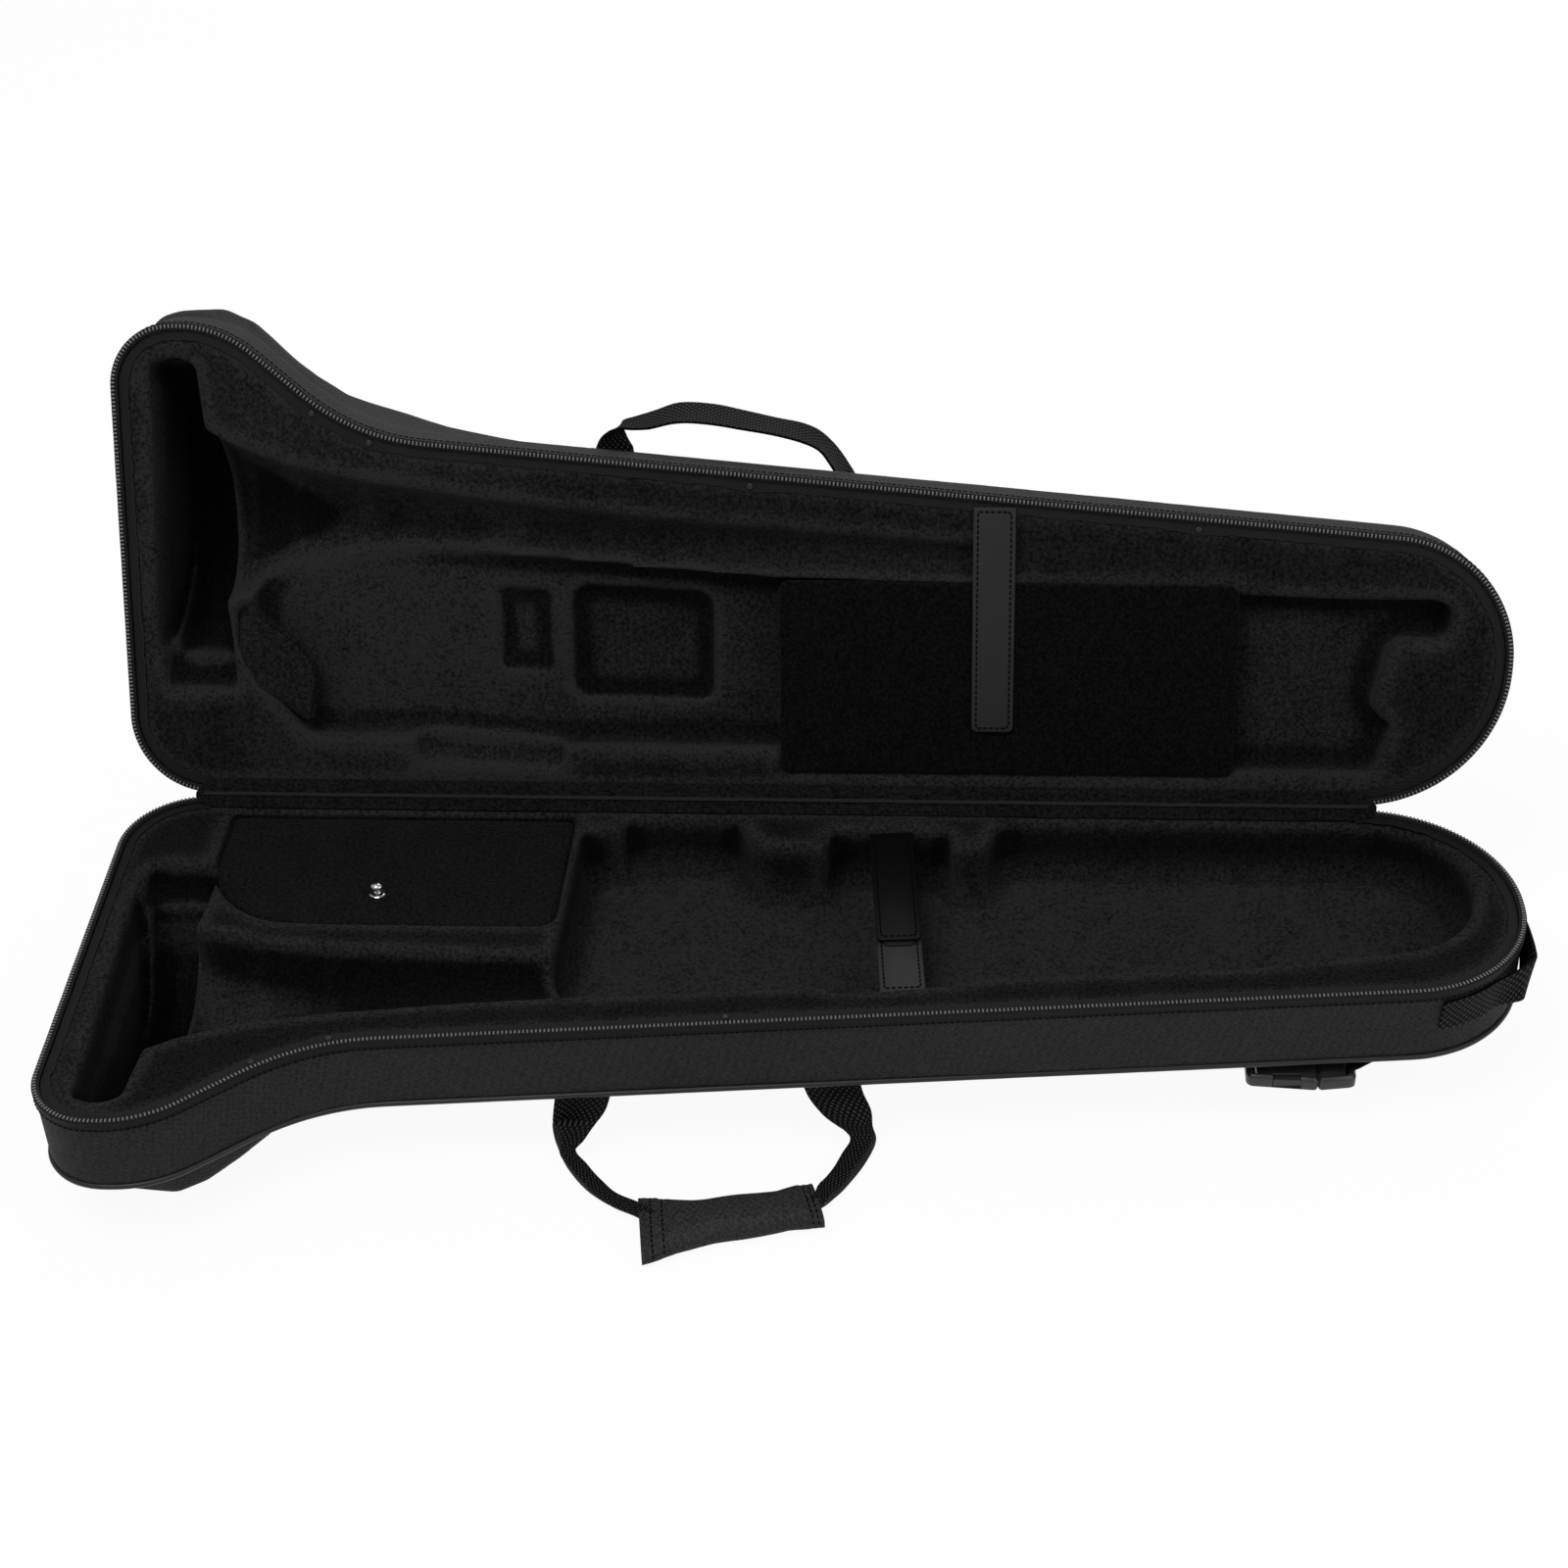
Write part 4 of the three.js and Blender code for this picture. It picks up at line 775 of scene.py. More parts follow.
def skin(half):
    """A half's fabric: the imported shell's outside, rounded, slightly uneven, and given its thickness."""
    sizes = bpy.context.scene.case_sizes
    piece = half_copy(f"{half}_shell", half, f"{half}_skin")
    top = -RIM_DROP * MM
    with editing(piece, "FACE", "DESELECT"):
        mesh = bmesh.from_edit_mesh(piece.data)
        for face in mesh.faces:
            face.select_set(face.normal.z > 0.9 and face.calc_center_median().z > top - 0.0005)
        bmesh.update_edit_mesh(piece.data)
        bpy.ops.mesh.delete(type="FACE")
    piece = keep_outer_island(piece)
    with editing(piece, "EDGE", "DESELECT"):
        bpy.ops.mesh.select_non_manifold()
        bpy.ops.mesh.edge_face_add()
        bpy.ops.mesh.extrude_region_move(TRANSFORM_OT_translate={"value": (0, 0, COLLAR)})
        bpy.ops.mesh.select_all(action="SELECT")
        bpy.ops.mesh.normals_make_consistent(inside=False)
    rounded(piece, sizes.shell_voxel, sizes.shell_rounds)
    if half == "lid":
        fill_out(piece)
    ripple(piece, *UNEVEN_SHELL)
    with editing(piece):
        bpy.ops.mesh.bisect(plane_co=(0, 0, top), plane_no=UP, clear_outer=True)
    finish_with(piece, "SOLIDIFY", thickness=sizes.fabric_thickness, offset=-1)
    if half == "base":
        above_floor(piece)
    return settle(smooth_shade(piece, 60), half)


def store_painted_light(piece, values):
    """Stores the painted light and shade of a piece's pile at each of its points."""
    layer = piece.data.attributes.get("nap_and_painted_light") or piece.data.attributes.new("nap_and_painted_light", "FLOAT", "POINT")
    layer.data.foreach_set("value", np.asarray(values, np.float32))


def paint_lining_light(piece, half):
    """Paints light and shade into a lining's pile: a painted highlight on its lips, painted shade in its
    hollows and on its deep floors.
    """
    values = read_points(piece)
    edges = np.empty(len(piece.data.edges) * 2, int)
    piece.data.edges.foreach_get("vertices", edges)
    edges = edges.reshape(-1, 2)
    count = np.bincount(edges.ravel(), minlength=len(values)).clip(1)

    def around(field):
        added = np.zeros_like(field)
        np.add.at(added, edges[:, 0], field[edges[:, 1]])
        np.add.at(added, edges[:, 1], field[edges[:, 0]])
        return added / (count[:, None] if field.ndim > 1 else count)

    bulging = -((around(values) - values) * read_points(piece, "normal")).sum(1)
    for _ in range(3):
        bulging = around(bulging)
    nap_and_painted_light = np.interp(-values[:, 2], *DEPTH_LIGHT_AND_SHADE[half]) + np.clip(bulging * LIP_LIGHT_AND_SHADE, *LIP_LIMITS)
    if half == "lid":
        nap_and_painted_light *= np.interp(values[:, 0], *THROAT_LIGHT)
    store_painted_light(piece, np.clip(nap_and_painted_light, *PAINTED_LIGHT_LIMITS))


class CASE_OT_shells(bpy.types.Operator):
    """Models the outer fabric of both halves"""

    bl_idname = "case.shells"
    bl_label = "Shells"

    def execute(self, context):
        for half in HALVES:
            dress(skin(half), "twill", "twill", half, f"{half}_shell")
        return {"FINISHED"}


class CASE_OT_linings(bpy.types.Operator):
    """Models the moulded plush linings of both halves: soft lips and slightly uneven faces"""

    bl_idname = "case.linings"
    bl_label = "Linings"

    def execute(self, context):
        sizes = context.scene.case_sizes
        for half in HALVES:
            piece = half_copy(f"{half}_lining", half, f"{half}_plush")
            rounded(piece, sizes.lining_voxel, sizes.lining_rounds)
            ripple(piece, *UNEVEN_LINING)
            # Painted highlight on the lips, painted shade in the hollows and on the deep floors
            paint_lining_light(piece, half)
            settle(smooth_shade(piece), half)
            dress(piece, "plush", "plush", half, f"{half}_lining", fill=1.0)
        return {"FINISHED"}


# Piping, zipper, ribbon and rivets

# The eased lower edge of a half, across and high, and the cord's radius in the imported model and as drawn
EASED_ACROSS = 3
EASED_HIGH = 4
CORD_RADIUS = 2.2
DRAWN_RADIUS = 2.1
# Section of the zipper's tape from the stitched edge on the wall up and over the rim, in millimetres:
# how far out from the outline, and height
TAPE_SECTION = [
    (0.3, -9.5), (0.75, -9.7), (1.15, -9.2), (1.2, -8.2), (0.95, -7.6), (1.15, -6.6), (1.25, -3.6),
    (1.5, -2.9), (1.45, -2.2), (1.05, -1.7), (0.3, -1.45), (-0.6, -1.4), (-2.2, -1.5), (-3.4, -1.7),
    (-3.9, -1.9), (-3.9, -2.2), (0.3, -2.2),
]
# Where the seam runs on the wall: how far out from the outline, and height
TAPE_SEAM = (1.3, -8.6)
# The coil: how far its middle is inside the outline, its height, and a turn's radius and bevel in metres. Its
# turns are 1.4 mm apart, drawn at 2.8 mm so that they show in a picture of the whole case
COIL_INSET = 0.7
COIL_HEIGHT = -0.85
COIL_RADIUS = 0.0008
COIL_BEVEL = 0.0003
# Places of the rivets along the front, and how far the ribbon dips on both sides of each
RIVETS = {"base": [148, 195, 458], "lid": [150, 190, 461, 777]}
RIVET_REACH = 22
# The ribbon's section: share of its width inwards, and share of its lift
RIBBON_SECTION = [(0, 0.2), (0.3, 0.35), (0.65, 0.75), (1, 1.0)]
# The ribbon's width, how far its edge comes and goes, how much wider it lies at a rivet, and its height
RIBBON_WIDTH = 6.5
RIBBON_FRILL = 1.1
RIBBON_PULL = 2.5
RIBBON_HEIGHT = -4.1
FRONT_SIDE = -150
# The lid's edge thread: the span of its setback, its reach from the outline, height and radius
SELVAGE_SPAN = (-318, -50)
SELVAGE_REACH = 6.4
SELVAGE_HEIGHT = -3.0
SELVAGE_RADIUS = 0.45


def piping_drop(half):
    """Height of the cord's middle where it lies against the eased lower edge, in millimetres."""
    inset, depth = HALVES[half]["piping_inset"], HALVES[half]["depth"]
    slope = math.hypot(EASED_ACROSS, EASED_HIGH)
    clear = CORD_RADIUS + GAP
    past = EASED_ACROSS - inset
    if past < clear * EASED_HIGH / slope:
        return -depth - math.sqrt(clear**2 - past**2)
    return -depth + EASED_HIGH / 2 + ((EASED_ACROSS / 2 - inset) * EASED_HIGH - clear * slope) / EASED_ACROSS


def piping(half):
    """The welt sewn into a half's lower edge, left out where the lid's bulge takes that edge."""
    facts = HALVES[half]
    drop = piping_drop(half) + facts["tuck"] * 0.8
    stations = rim_path(facts["piping_inset"] + facts["tuck"], 5, closed=True)
    if half == "lid":
        end = LID_BULGE_END + CORD_RADIUS
        bare = [i for i, (at, _, _) in enumerate(stations) if at.x < end and at.y < -BELL_END_WIDTH / 2]
        first = max(bare) + 1
        stations = (stations[first:] + stations[:first])[: len(stations) - len(bare)]
    rings = []
    for at, out, _ in stations:
        radius = DRAWN_RADIUS * (1 + 0.04 * wavy((at.x, at.y, 0), 14, 2))
        rings.append(circle_round(at.to_3d() + UP * drop, out.to_3d(), UP, radius, 10))
    piece = swept(f"{half}_welt", rings, round_section=True, round_path=half == "base")
    return settle(smooth_shade(piece), half)


class CASE_OT_piping(bpy.types.Operator):
    """Models the piping round the lower edge of both halves"""

    bl_idname = "case.piping"
    bl_label = "Piping"

    def execute(self, context):
        for half in HALVES:
            dress(piping(half), "welt", "twill", half, f"{half}_piping")
        return {"FINISHED"}


class CASE_OT_zipper(bpy.types.Operator):
    """Models the zipper's tapes, its coils a little above them, and the seams on the outer wall"""

    bl_idname = "case.zipper"
    bl_label = "Zipper"

    def execute(self, context):
        sizes = context.scene.case_sizes
        for half in HALVES:
            stations = rim_path(0, 4)
            rings = []
            for at, out, _ in stations:
                sway = 0.12 * wavy((at.x, at.y, 0), 22, 5)
                rings.append([beside(at, out, reach + sway, height) for reach, height in TAPE_SECTION])
            tape = swept(f"{half}_tape", rings, round_section=True, along=[a * MM for _, _, a in stations])
            row = rim_path(COIL_INSET, sizes.tooth_pitch / MM)
            turns = [turned_to(beside(at, out, 0, COIL_HEIGHT), out.to_3d()) for at, out, _ in row]
            coil = copies(f"{half}_coil", short_rod(COIL_RADIUS, sizes.tooth_length, COIL_BEVEL), turns)
            route = [beside(at, out, *TAPE_SEAM) for at, out, _ in stations]
            seam = stitches(f"{half}_tape_seam", route, *TAPE_THREAD)
            dress(settle(smooth_shade(tape, 50), half), "tape", "zipper", half, f"{half}_zipper")
            dress(settle(coil, half), "coil", "zipper", half, f"{half}_zipper")
            dress(settle(seam, half), "thread", "zipper", half)
        return {"FINISHED"}


def ribbon(half):
    """The binding between lining and shell: it waves between its rivets and dips at each of them."""
    wave = bpy.context.scene.case_sizes.flange_wave / MM
    stations = rim_path(SHELL_WALL + GAP, 2.5)
    rings = []
    for at, out, along in stations:
        rivets = RIVETS[half] if at.y < FRONT_SIDE else []
        calm = min([1.0] + [abs(at.x - place) / RIVET_REACH for place in rivets])
        lift = 0.55 * wave * (1 + wavy((along, 0, 0), 17, 11)) * calm
        width = RIBBON_WIDTH + RIBBON_FRILL * wavy((along, 3, 0), 9, 4) * calm + RIBBON_PULL * (1 - calm)
        section = [(-share * width, RIBBON_HEIGHT + lift * high) for share, high in RIBBON_SECTION]
        rings.append([beside(at, out, reach, height) for reach, height in section])
    piece = swept(f"{half}_ribbon", rings, along=[a * MM for _, _, a in stations])
    finish_with(piece, "SOLIDIFY", thickness=0.0005, offset=0)
    return settle(smooth_shade(piece, 60), half)


def frayed_selvage():
    """The wavy edge thread of the binding along the lid's bell end."""
    line = []
    for at, out, along in rim_path(SHELL_WALL + GAP, 1.5):
        if at.x < 30 and SELVAGE_SPAN[0] < at.y < SELVAGE_SPAN[1]:
            reach = SELVAGE_REACH + 1.3 * wavy((along, 0, 0), 7, 31)
            height = SELVAGE_HEIGHT + 0.5 * wavy((along, 9, 0), 6, 5)
            line.append(at.to_3d() - out.to_3d() * reach + UP * height)
    rings = []
    for i, at in enumerate(line):
        ahead = heading(line, i)
        side = ahead.cross(UP).normalized()
        rings.append(circle_round(at, side, side.cross(ahead), SELVAGE_RADIUS, 6))
    return settle(smooth_shade(swept("lid_selvage", rings, round_section=True)), "lid")


class CASE_OT_ribbon(bpy.types.Operator):
    """Models the binding ribbons between shells and linings"""

    bl_idname = "case.ribbon"
    bl_label = "Binding ribbons"

    def execute(self, context):
        for half in HALVES:
            dress(ribbon(half), "dark_ribbon", "twill", half, f"{half}_flange")
            for k in range(len(RIVETS[half])):
                paint(NODES[f"{half}_rivet_{k + 1}"], "welt")
        dress(frayed_selvage(), "ribbon", "twill", "lid")
        return {"FINISHED"}


# Boards, pads and straps

# Outline of the cushion beside the crook in the lid: place along and setback in millimetres, and its middle
CUSHION_EDGE = [
    (86, 135), (103, 135), (126, 118), (142, 97), (143, 77), (136, 52), (129, 54), (111, 69), (94, 77),
    (84, 101),
]
CUSHION_MIDDLE = Vector((113, -94))
# Its floor and height in metres, and where its seam runs: share of the way to the edge, and height
CUSHION_FLOOR = -0.0115
CUSHION_HEIGHT = 0.0068
SEAM_SHARE = 0.88
SEAM_HEIGHT = -4.75
BOARD_VOXEL = 0.0022
BOARD_SIZE = 0.04
BOARD_SEED = 13
# Where the slide cover's far edge moves: by place along, in metres
COVER_EDGE = -0.150
COVER_REACH = ([0.48, 0.8], [0.0033, 0.001])


def crook_cushion():
    """The cushion's block, before its edges are eased."""
    deselect()
    bpy.ops.mesh.primitive_circle_add(vertices=len(CUSHION_EDGE), radius=1, fill_type="NGON")
    piece = named(bpy.context.object, "crook_cushion")
    place_points(piece, [(x * MM, -v * MM, CUSHION_FLOOR) for x, v in CUSHION_EDGE])
    with editing(piece):
        bpy.ops.mesh.extrude_region_move(TRANSFORM_OT_translate={"value": (0, 0, CUSHION_HEIGHT)})
        bpy.ops.mesh.select_all(action="SELECT")
        bpy.ops.mesh.normals_make_consistent(inside=False)
    return piece


def cover_block():
    """The slide cover's copy, with its far edge moved up to the edge of the recess that it closes."""
    piece = half_copy("slide_cover", "lid", "cover_board")
    values = read_points(piece)
    far = values[:, 1] < COVER_EDGE
    values[far, 1] -= np.interp(values[far, 0], *COVER_REACH)
    place_points(piece, values)
    return piece


class CASE_OT_boards(bpy.types.Operator):
    """Models the accessory door, the slide cover and the crook pad"""

    bl_idname = "case.boards"
    bl_label = "Plush boards"

    def execute(self, context):
        # Each board's half, body, imported node, rounds of smoothing, unevenness, and how bright its pile is
        # painted where its edge turns down and on its face: painted light and shade by which way each face
        # turns
        door = half_copy("accessory_door", "base", "door_board")
        rows = [
            (door, "base", "accessory_door", "accessory_door", 9, 0.0002, (0.04, 0.21)),
            (cover_block(), "lid", "slide_cover", "slide_cover", 3, 0.0003, (0.2, 0.09)),
            (crook_cushion(), "lid", "lid", "crook_pad", 12, 0.0012, (0.2, 0.42)),
        ]
        for piece, half, body, node, rounds, puff, nap_and_painted_light in rows:
            rounded(piece, BOARD_VOXEL, rounds)
            ripple(piece, puff, BOARD_SIZE, BOARD_SEED)
            # Painted light and shade: the pile is painted lighter or darker by how far each face turns up
            store_painted_light(piece, np.interp(read_points(piece, "normal")[:, 2], [0.5, 0.97], nap_and_painted_light))
            settle(smooth_shade(piece), half)
            dress(piece, "plush", "plush", body, node, fill=0.9)
        route = [CUSHION_MIDDLE.lerp(Vector((x, -v)), SEAM_SHARE) for x, v in CUSHION_EDGE[1:6]]
        route = spline([Vector((p.x, p.y, SEAM_HEIGHT)) * MM for p in route], 30)
        seam = stitches("crook_cushion_seam", route, *FINE_THREAD)
        dress(settle(seam, "lid"), "thread", "plush", "lid")
        return {"FINISHED"}


# The straps: turn of the upper and lower one, how far their stitches stand from the edge, and for each its
# material, place and setback of its sewn end, width, length, way, turn and height of its face
STRAP_TURN = math.radians(-4.5)
STITCH_INSET = 3.2
STRAPS = [
    ("strap_upper", "base", "upper_strap", "strap_back", (562, 26.8), 31, 119.2, 1, STRAP_TURN, -6.0),
    (
        "strap_lower", "base", "lower_strap", "leatherette",
        (562 + 168.6 * math.tan(-STRAP_TURN), 195.4), 31, 69.4, -1, STRAP_TURN, -9.8,
    ),
    ("slide_strap", "lid", "cover_strap", "leatherette", (634, width_at(634) - 6.5), 30, 166, -1, 0, -1.0),
]


class CASE_OT_straps(bpy.types.Operator):
    """Models the leatherette straps over the instrument and over the slide cover"""

    bl_idname = "case.straps"
    bl_label = "Straps"

    def execute(self, context):
        for node, half, name, material, root, width, length, way, angle, top in STRAPS:
            dress(eased_copy(node, half, name, 0.0006), material, "leatherette", node, node)
            side = Vector((math.cos(-angle), math.sin(-angle), 0))
            along = Vector((math.sin(-angle), -math.cos(-angle), 0)) * way
            start = Vector((root[0], -root[1], top + 0.2))
            across, reach = width / 2 - STITCH_INSET, length - STITCH_INSET
            turns = [(-across, STITCH_INSET), (across, STITCH_INSET), (across, reach), (-across, reach)]
            route = [(start + side * a + along * b) * MM for a, b in turns + turns[:1]]
            row = settle(stitches(name + "_stitches", route, *BOLD_THREAD), half)
            dress(row, "thread", "leatherette", node)
        hook = eased_copy("hook_strip", "base", "hook_tape", 0.0003, 1, 30)
        dress(hook, "tape", "webbing", "strap_upper", "hook_strip")
        return {"FINISHED"}


# Profiles of the door's knob and of the plate under it, radius and height in millimetres, and their places
KNOB_PLATE = [(0, 0), (6, 0), (6.05, 0.25), (5.7, 0.55), (4.6, 0.8), (2.9, 0.85), (0, 0.85)]
KNOB_HEAD = [
    (0, 0), (2.8, 0), (2.6, 0.5), (1.7, 1.1), (1.55, 2.6), (1.75, 3.3), (3.4, 3.7), (4.45, 4.15),
    (4.7, 4.8), (4.6, 5.7), (4.1, 6.6), (3.1, 7.35), (1.7, 7.85), (0, 8.0),
]
DOOR_FLOOR = -14.6
DOOR_THICKNESS = 5
PLATE_HEIGHT = 0.8
DOOR_TOP = DOOR_FLOOR + GAP + DOOR_THICKNESS
KNOB_PLACE = (199, -100)


def turned_piece(name, profile, height):
    """A turned shape spun from radius and height pairs, on the door at a height in the base's frame."""
    deselect()
    bpy.ops.mesh.primitive_circle_add(vertices=len(profile), radius=1)
    piece = named(bpy.context.object, name)
    place_points(piece, [(r * MM, 0, h * MM) for r, h in profile])
    with editing(piece, "EDGE", "DESELECT"):
        mesh = bmesh.from_edit_mesh(piece.data)
        for edge in mesh.edges:
            edge.select_set(all(end.co.x < 1e-7 for end in edge.verts))
        bmesh.update_edit_mesh(piece.data)
        bpy.ops.mesh.delete(type="EDGE")
        bpy.ops.mesh.select_all(action="SELECT")
        bpy.ops.mesh.spin(steps=40, angle=2 * math.pi, center=(0, 0, 0), axis=UP)
        bpy.ops.mesh.select_all(action="SELECT")
        bpy.ops.mesh.remove_doubles(threshold=1e-6)
        bpy.ops.mesh.normals_make_consistent(inside=False)
    piece.data.transform(Matrix.Translation(Vector((*KNOB_PLACE, height)) * MM))
    return settle(smooth_shade(piece, 40), "base")


class CASE_OT_knob(bpy.types.Operator):
    """Models the chromed knob of the accessory door"""

    bl_idname = "case.knob"
    bl_label = "Door knob"

    def execute(self, context):
        plate = turned_piece("knob_washer", KNOB_PLATE, DOOR_TOP + GAP)
        dress(plate, "chrome", "chrome", "accessory_door", "knob_plate")
        head = turned_piece("knob_head", KNOB_HEAD, DOOR_TOP + PLATE_HEIGHT + 2 * GAP)
        dress(head, "chrome", "chrome", "accessory_door", "door_knob")
        return {"FINISHED"}


# Webbing

BAND_SHARES = (-1, -0.96, -0.8, -0.5, -0.2, 0.2, 0.5, 0.8, 0.96, 1)
STRIP_COLUMNS = 10
LEG_WIDTH = 38
LOOP_WIDTH = 25
# Edges of the carrying handle's legs in the base's frame, in millimetres: each station's outer and inner one
LEG_EDGES = {
    "left": [
        (340, -244, -66, 378, -243, -66), (338, -247, -80, 373, -245, -80),
        (337, -248, -92, 364, -249, -92), (338, -249, -102, 357, -255, -100),
        (342, -254, -112, 353, -259, -102), (350, -269, -113, 362, -272, -103),
        (364, -287, -113, 374, -287, -103), (381, -301, -112, 387, -301, -102),
        (400, -312, -111, 404, -311, -100), (414, -323, -110, 416, -319, -101),
    ],
    "right": [
        (546, -223, -66, 507, -227, -66), (549, -223, -80, 512, -228, -80),
        (554, -229, -90, 521, -233, -90), (555, -233, -100, 532, -236, -98),
        (557, -237, -109, 540, -243, -101), (551, -254, -113, 535, -259, -102),
        (541, -274, -113, 528, -276, -102), (532, -288, -113, 521, -288, -102),
        (522, -301, -111, 517, -301, -100), (510, -307, -110, 507, -304, -101),
    ],
}
# Edges of the grab loop in the base's frame, in millimetres: lower and upper edge of each station
LOOP_EDGES = [
    (935, -196, -36, 937, -196, -12), (946, -192, -36, 946, -192, -12), (956, -187, -36, 956, -187, -12),
    (967, -180, -36, 966, -180, -12), (978, -170, -36, 974, -173, -12), (988, -167, -36, 985, -165, -12),
    (995, -164, -36, 997, -156, -11), (997, -158, -36, 1003, -150, -10), (996, -149, -36, 1004, -141, -10),
    (998, -135, -36, 1004, -127, -11), (1001, -117, -36, 1003, -114, -11), (1002, -104, -36, 1002, -104, -12),
]
# Middle of the lid's loop, the direction across it and its width, in the base's frame in millimetres:
# three places, three shares and the width, which is narrow where the webbing is pinched above its left foot
LID_LOOP = [
    (359, 131, 208, 1, 0, 0, 29), (359, 131, 222, 1, 0, 0, 27), (359, 131, 230, 1, 0.2, 0, 19),
    (361, 131, 236, 0.8, 0.6, 0, 12), (365, 133, 239, 0.2, 1, 0, 12), (373, 135, 239, 0, 1, 0, 17),
    (386, 136, 241, 0, 1, 0, 24), (406, 136, 247, 0, 1, 0.05, 26), (430, 136, 246, 0, 1, 0.05, 26),
    (454, 136, 241, 0, 1, 0, 26), (476, 136, 236, 0, 1, -0.05, 26), (496, 137, 230, 0, 1, 0, 26),
    (507, 137, 224, 0, 1, 0, 26), (516, 137, 213, 0.1, 1, 0, 26), (524, 137, 198, 0.2, 1, 0, 26),
    (528, 134, 188, 0.4, 0.9, 0, 26),
]
# Where the handles bend above their sewn feet, in the base's frame in millimetres: both bodies, start and end
HANDLE_BENDS = {
    "base_handle": ("base", "base_handle", (443, -240, -67), (443, -244, -84)),
    "lid_handle": ("lid", "lid_handle", (445, 131, 214), (445, 134, 232)),
}


def woven(name, rings, middle, degrees):
    """Webbing through rings of points, with its thickness and eased edges; its UVs follow the middle line."""
    piece = swept(name, rings, along=running(middle))
    thickness = bpy.context.scene.case_sizes.webbing_thickness
    finish_with(piece, "SOLIDIFY", thickness=thickness * 0.95, offset=0)
    return above_floor(eased(piece, 0.0005, 2, degrees))


def band(name, stations, fold):
    """Webbing through stations in metres, each a place, a side direction and a width."""
    middle = [Vector(at) for at, _, _ in stations]
    rings = []
    for i, (at, side, width) in enumerate(stations):
        side = Vector(side).normalized()
        face = heading(middle, i).cross(side).normalized()
        rings.append([at + side * (s * width / 2) + face * (fold * (s * s - 0.4)) for s in BAND_SHARES])
    return smooth_shade(woven(name, rings, middle, 50), 45)


def run_stations(half, place, width, short):
    """A handle's webbing where it is sewn to the outer face and dips under the piping."""
    face = -HALVES[half]["depth"] - GAP - 1
    under = piping_drop(half) - CORD_RADIUS - GAP - 1
    edge = width_at(place)
    dip = edge - short * 0.7
    rows = [(edge - 60, face), (dip - 11.8, face), (dip - 5.2, under), (edge - short + 2.2, under)]
    fine = spline([Vector((place, -v, z)) for v, z in rows], 20)
    return [(p * MM, (1, FRONT_SLOPE, 0), width * MM) for p in fine]


def strip(name, edges, width, bulge, steps=72):
    """Webbing between two edges in millimetres; where they come closer than its width it folds outwards."""
    outer = spline([Vector(e[:3]) for e in edges], steps)
    inner = spline([Vector(e[3:]) for e in edges], steps)
    lowest = FLOOR_LEVEL + bpy.context.scene.case_sizes.webbing_thickness / MM / 2 + 0.4
    rings = []
    for j, (a, b) in enumerate(zip(outer, inner)):
        after, before = min(j + 1, steps), max(j - 1, 0)
        ahead = (outer[after] - outer[before]) + (inner[after] - inner[before])
        face = (b - a).cross(ahead).normalized()
        if face.z < -0.2:
            face = -face
        sag = min(bulge, math.sqrt(max(0.0, width**2 - (b - a).length ** 2)) * 0.3)
        ring = []
        for k in range(STRIP_COLUMNS + 1):
            share = k / STRIP_COLUMNS
            fold = math.sin(math.pi * share) ** 1.3 * (1 + 0.35 * math.sin(2 * math.pi * share))
            crumple = 0.08 * math.sin(9 * share * math.pi + j * 0.35)
            at = a.lerp(b, share) + face * (sag * (fold + crumple))
            at.z = max(at.z, lowest)
            ring.append(at * MM)
        rings.append(ring)
    middle = [(ring[0] + ring[-1]) / 2 for ring in rings]
    return smooth_shade(woven(name, rings, middle, 60), 50)


def lid_loop_stations():
    """The lid's plain loop: it stands up over the open lid's edge with its flat side up."""
    steps = 90
    middle = spline([Vector(row[:3]) for row in LID_LOOP], steps)
    side = spline([Vector(row[3:6]) for row in LID_LOOP], steps)
    shares = np.linspace(0, len(LID_LOOP) - 1, steps + 1)
    widths = np.interp(shares, range(len(LID_LOOP)), [row[6] for row in LID_LOOP])
    return [(p * MM, d, w * MM) for p, d, w in zip(middle, side, widths)]


class CASE_OT_webbing(bpy.types.Operator):
    """Models the handles' webbing and the grab loop"""

    bl_idname = "case.webbing"
    bl_label = "Webbing"

    def execute(self, context):
        runs = [
            ("base_run_left", "base", 360, LEG_WIDTH, 10.5),
            ("base_run_right", "base", 527, LEG_WIDTH, 15),
            ("lid_run_left", "lid", 362, 26, 7),
            ("lid_run_right", "lid", 531, 26, 9),
        ]
        rows = []
        for node, half, *facts in runs:
            rows.append((node, half, half, band(node + "_band", run_stations(half, *facts), 0)))
        loop = band("lid_handle_band", lid_loop_stations(), 0.0008)
        rows.append(("lid_handle", "base", "lid_handle", loop))
        for side, edges in LEG_EDGES.items():
            node = f"handle_leg_{side}"
            rows.append((node, "base", "base_handle", strip(node + "_band", edges, LEG_WIDTH, 4.0)))
        rows.append(("tail_loop", "base", "base", strip("tail_loop_band", LOOP_EDGES, LOOP_WIDTH, 0.4)))
        for node, half, body, piece in rows:
            dress(settle(piece, half), "webbing", "webbing", HANDLE_BENDS.get(body, body), node)
        return {"FINISHED"}


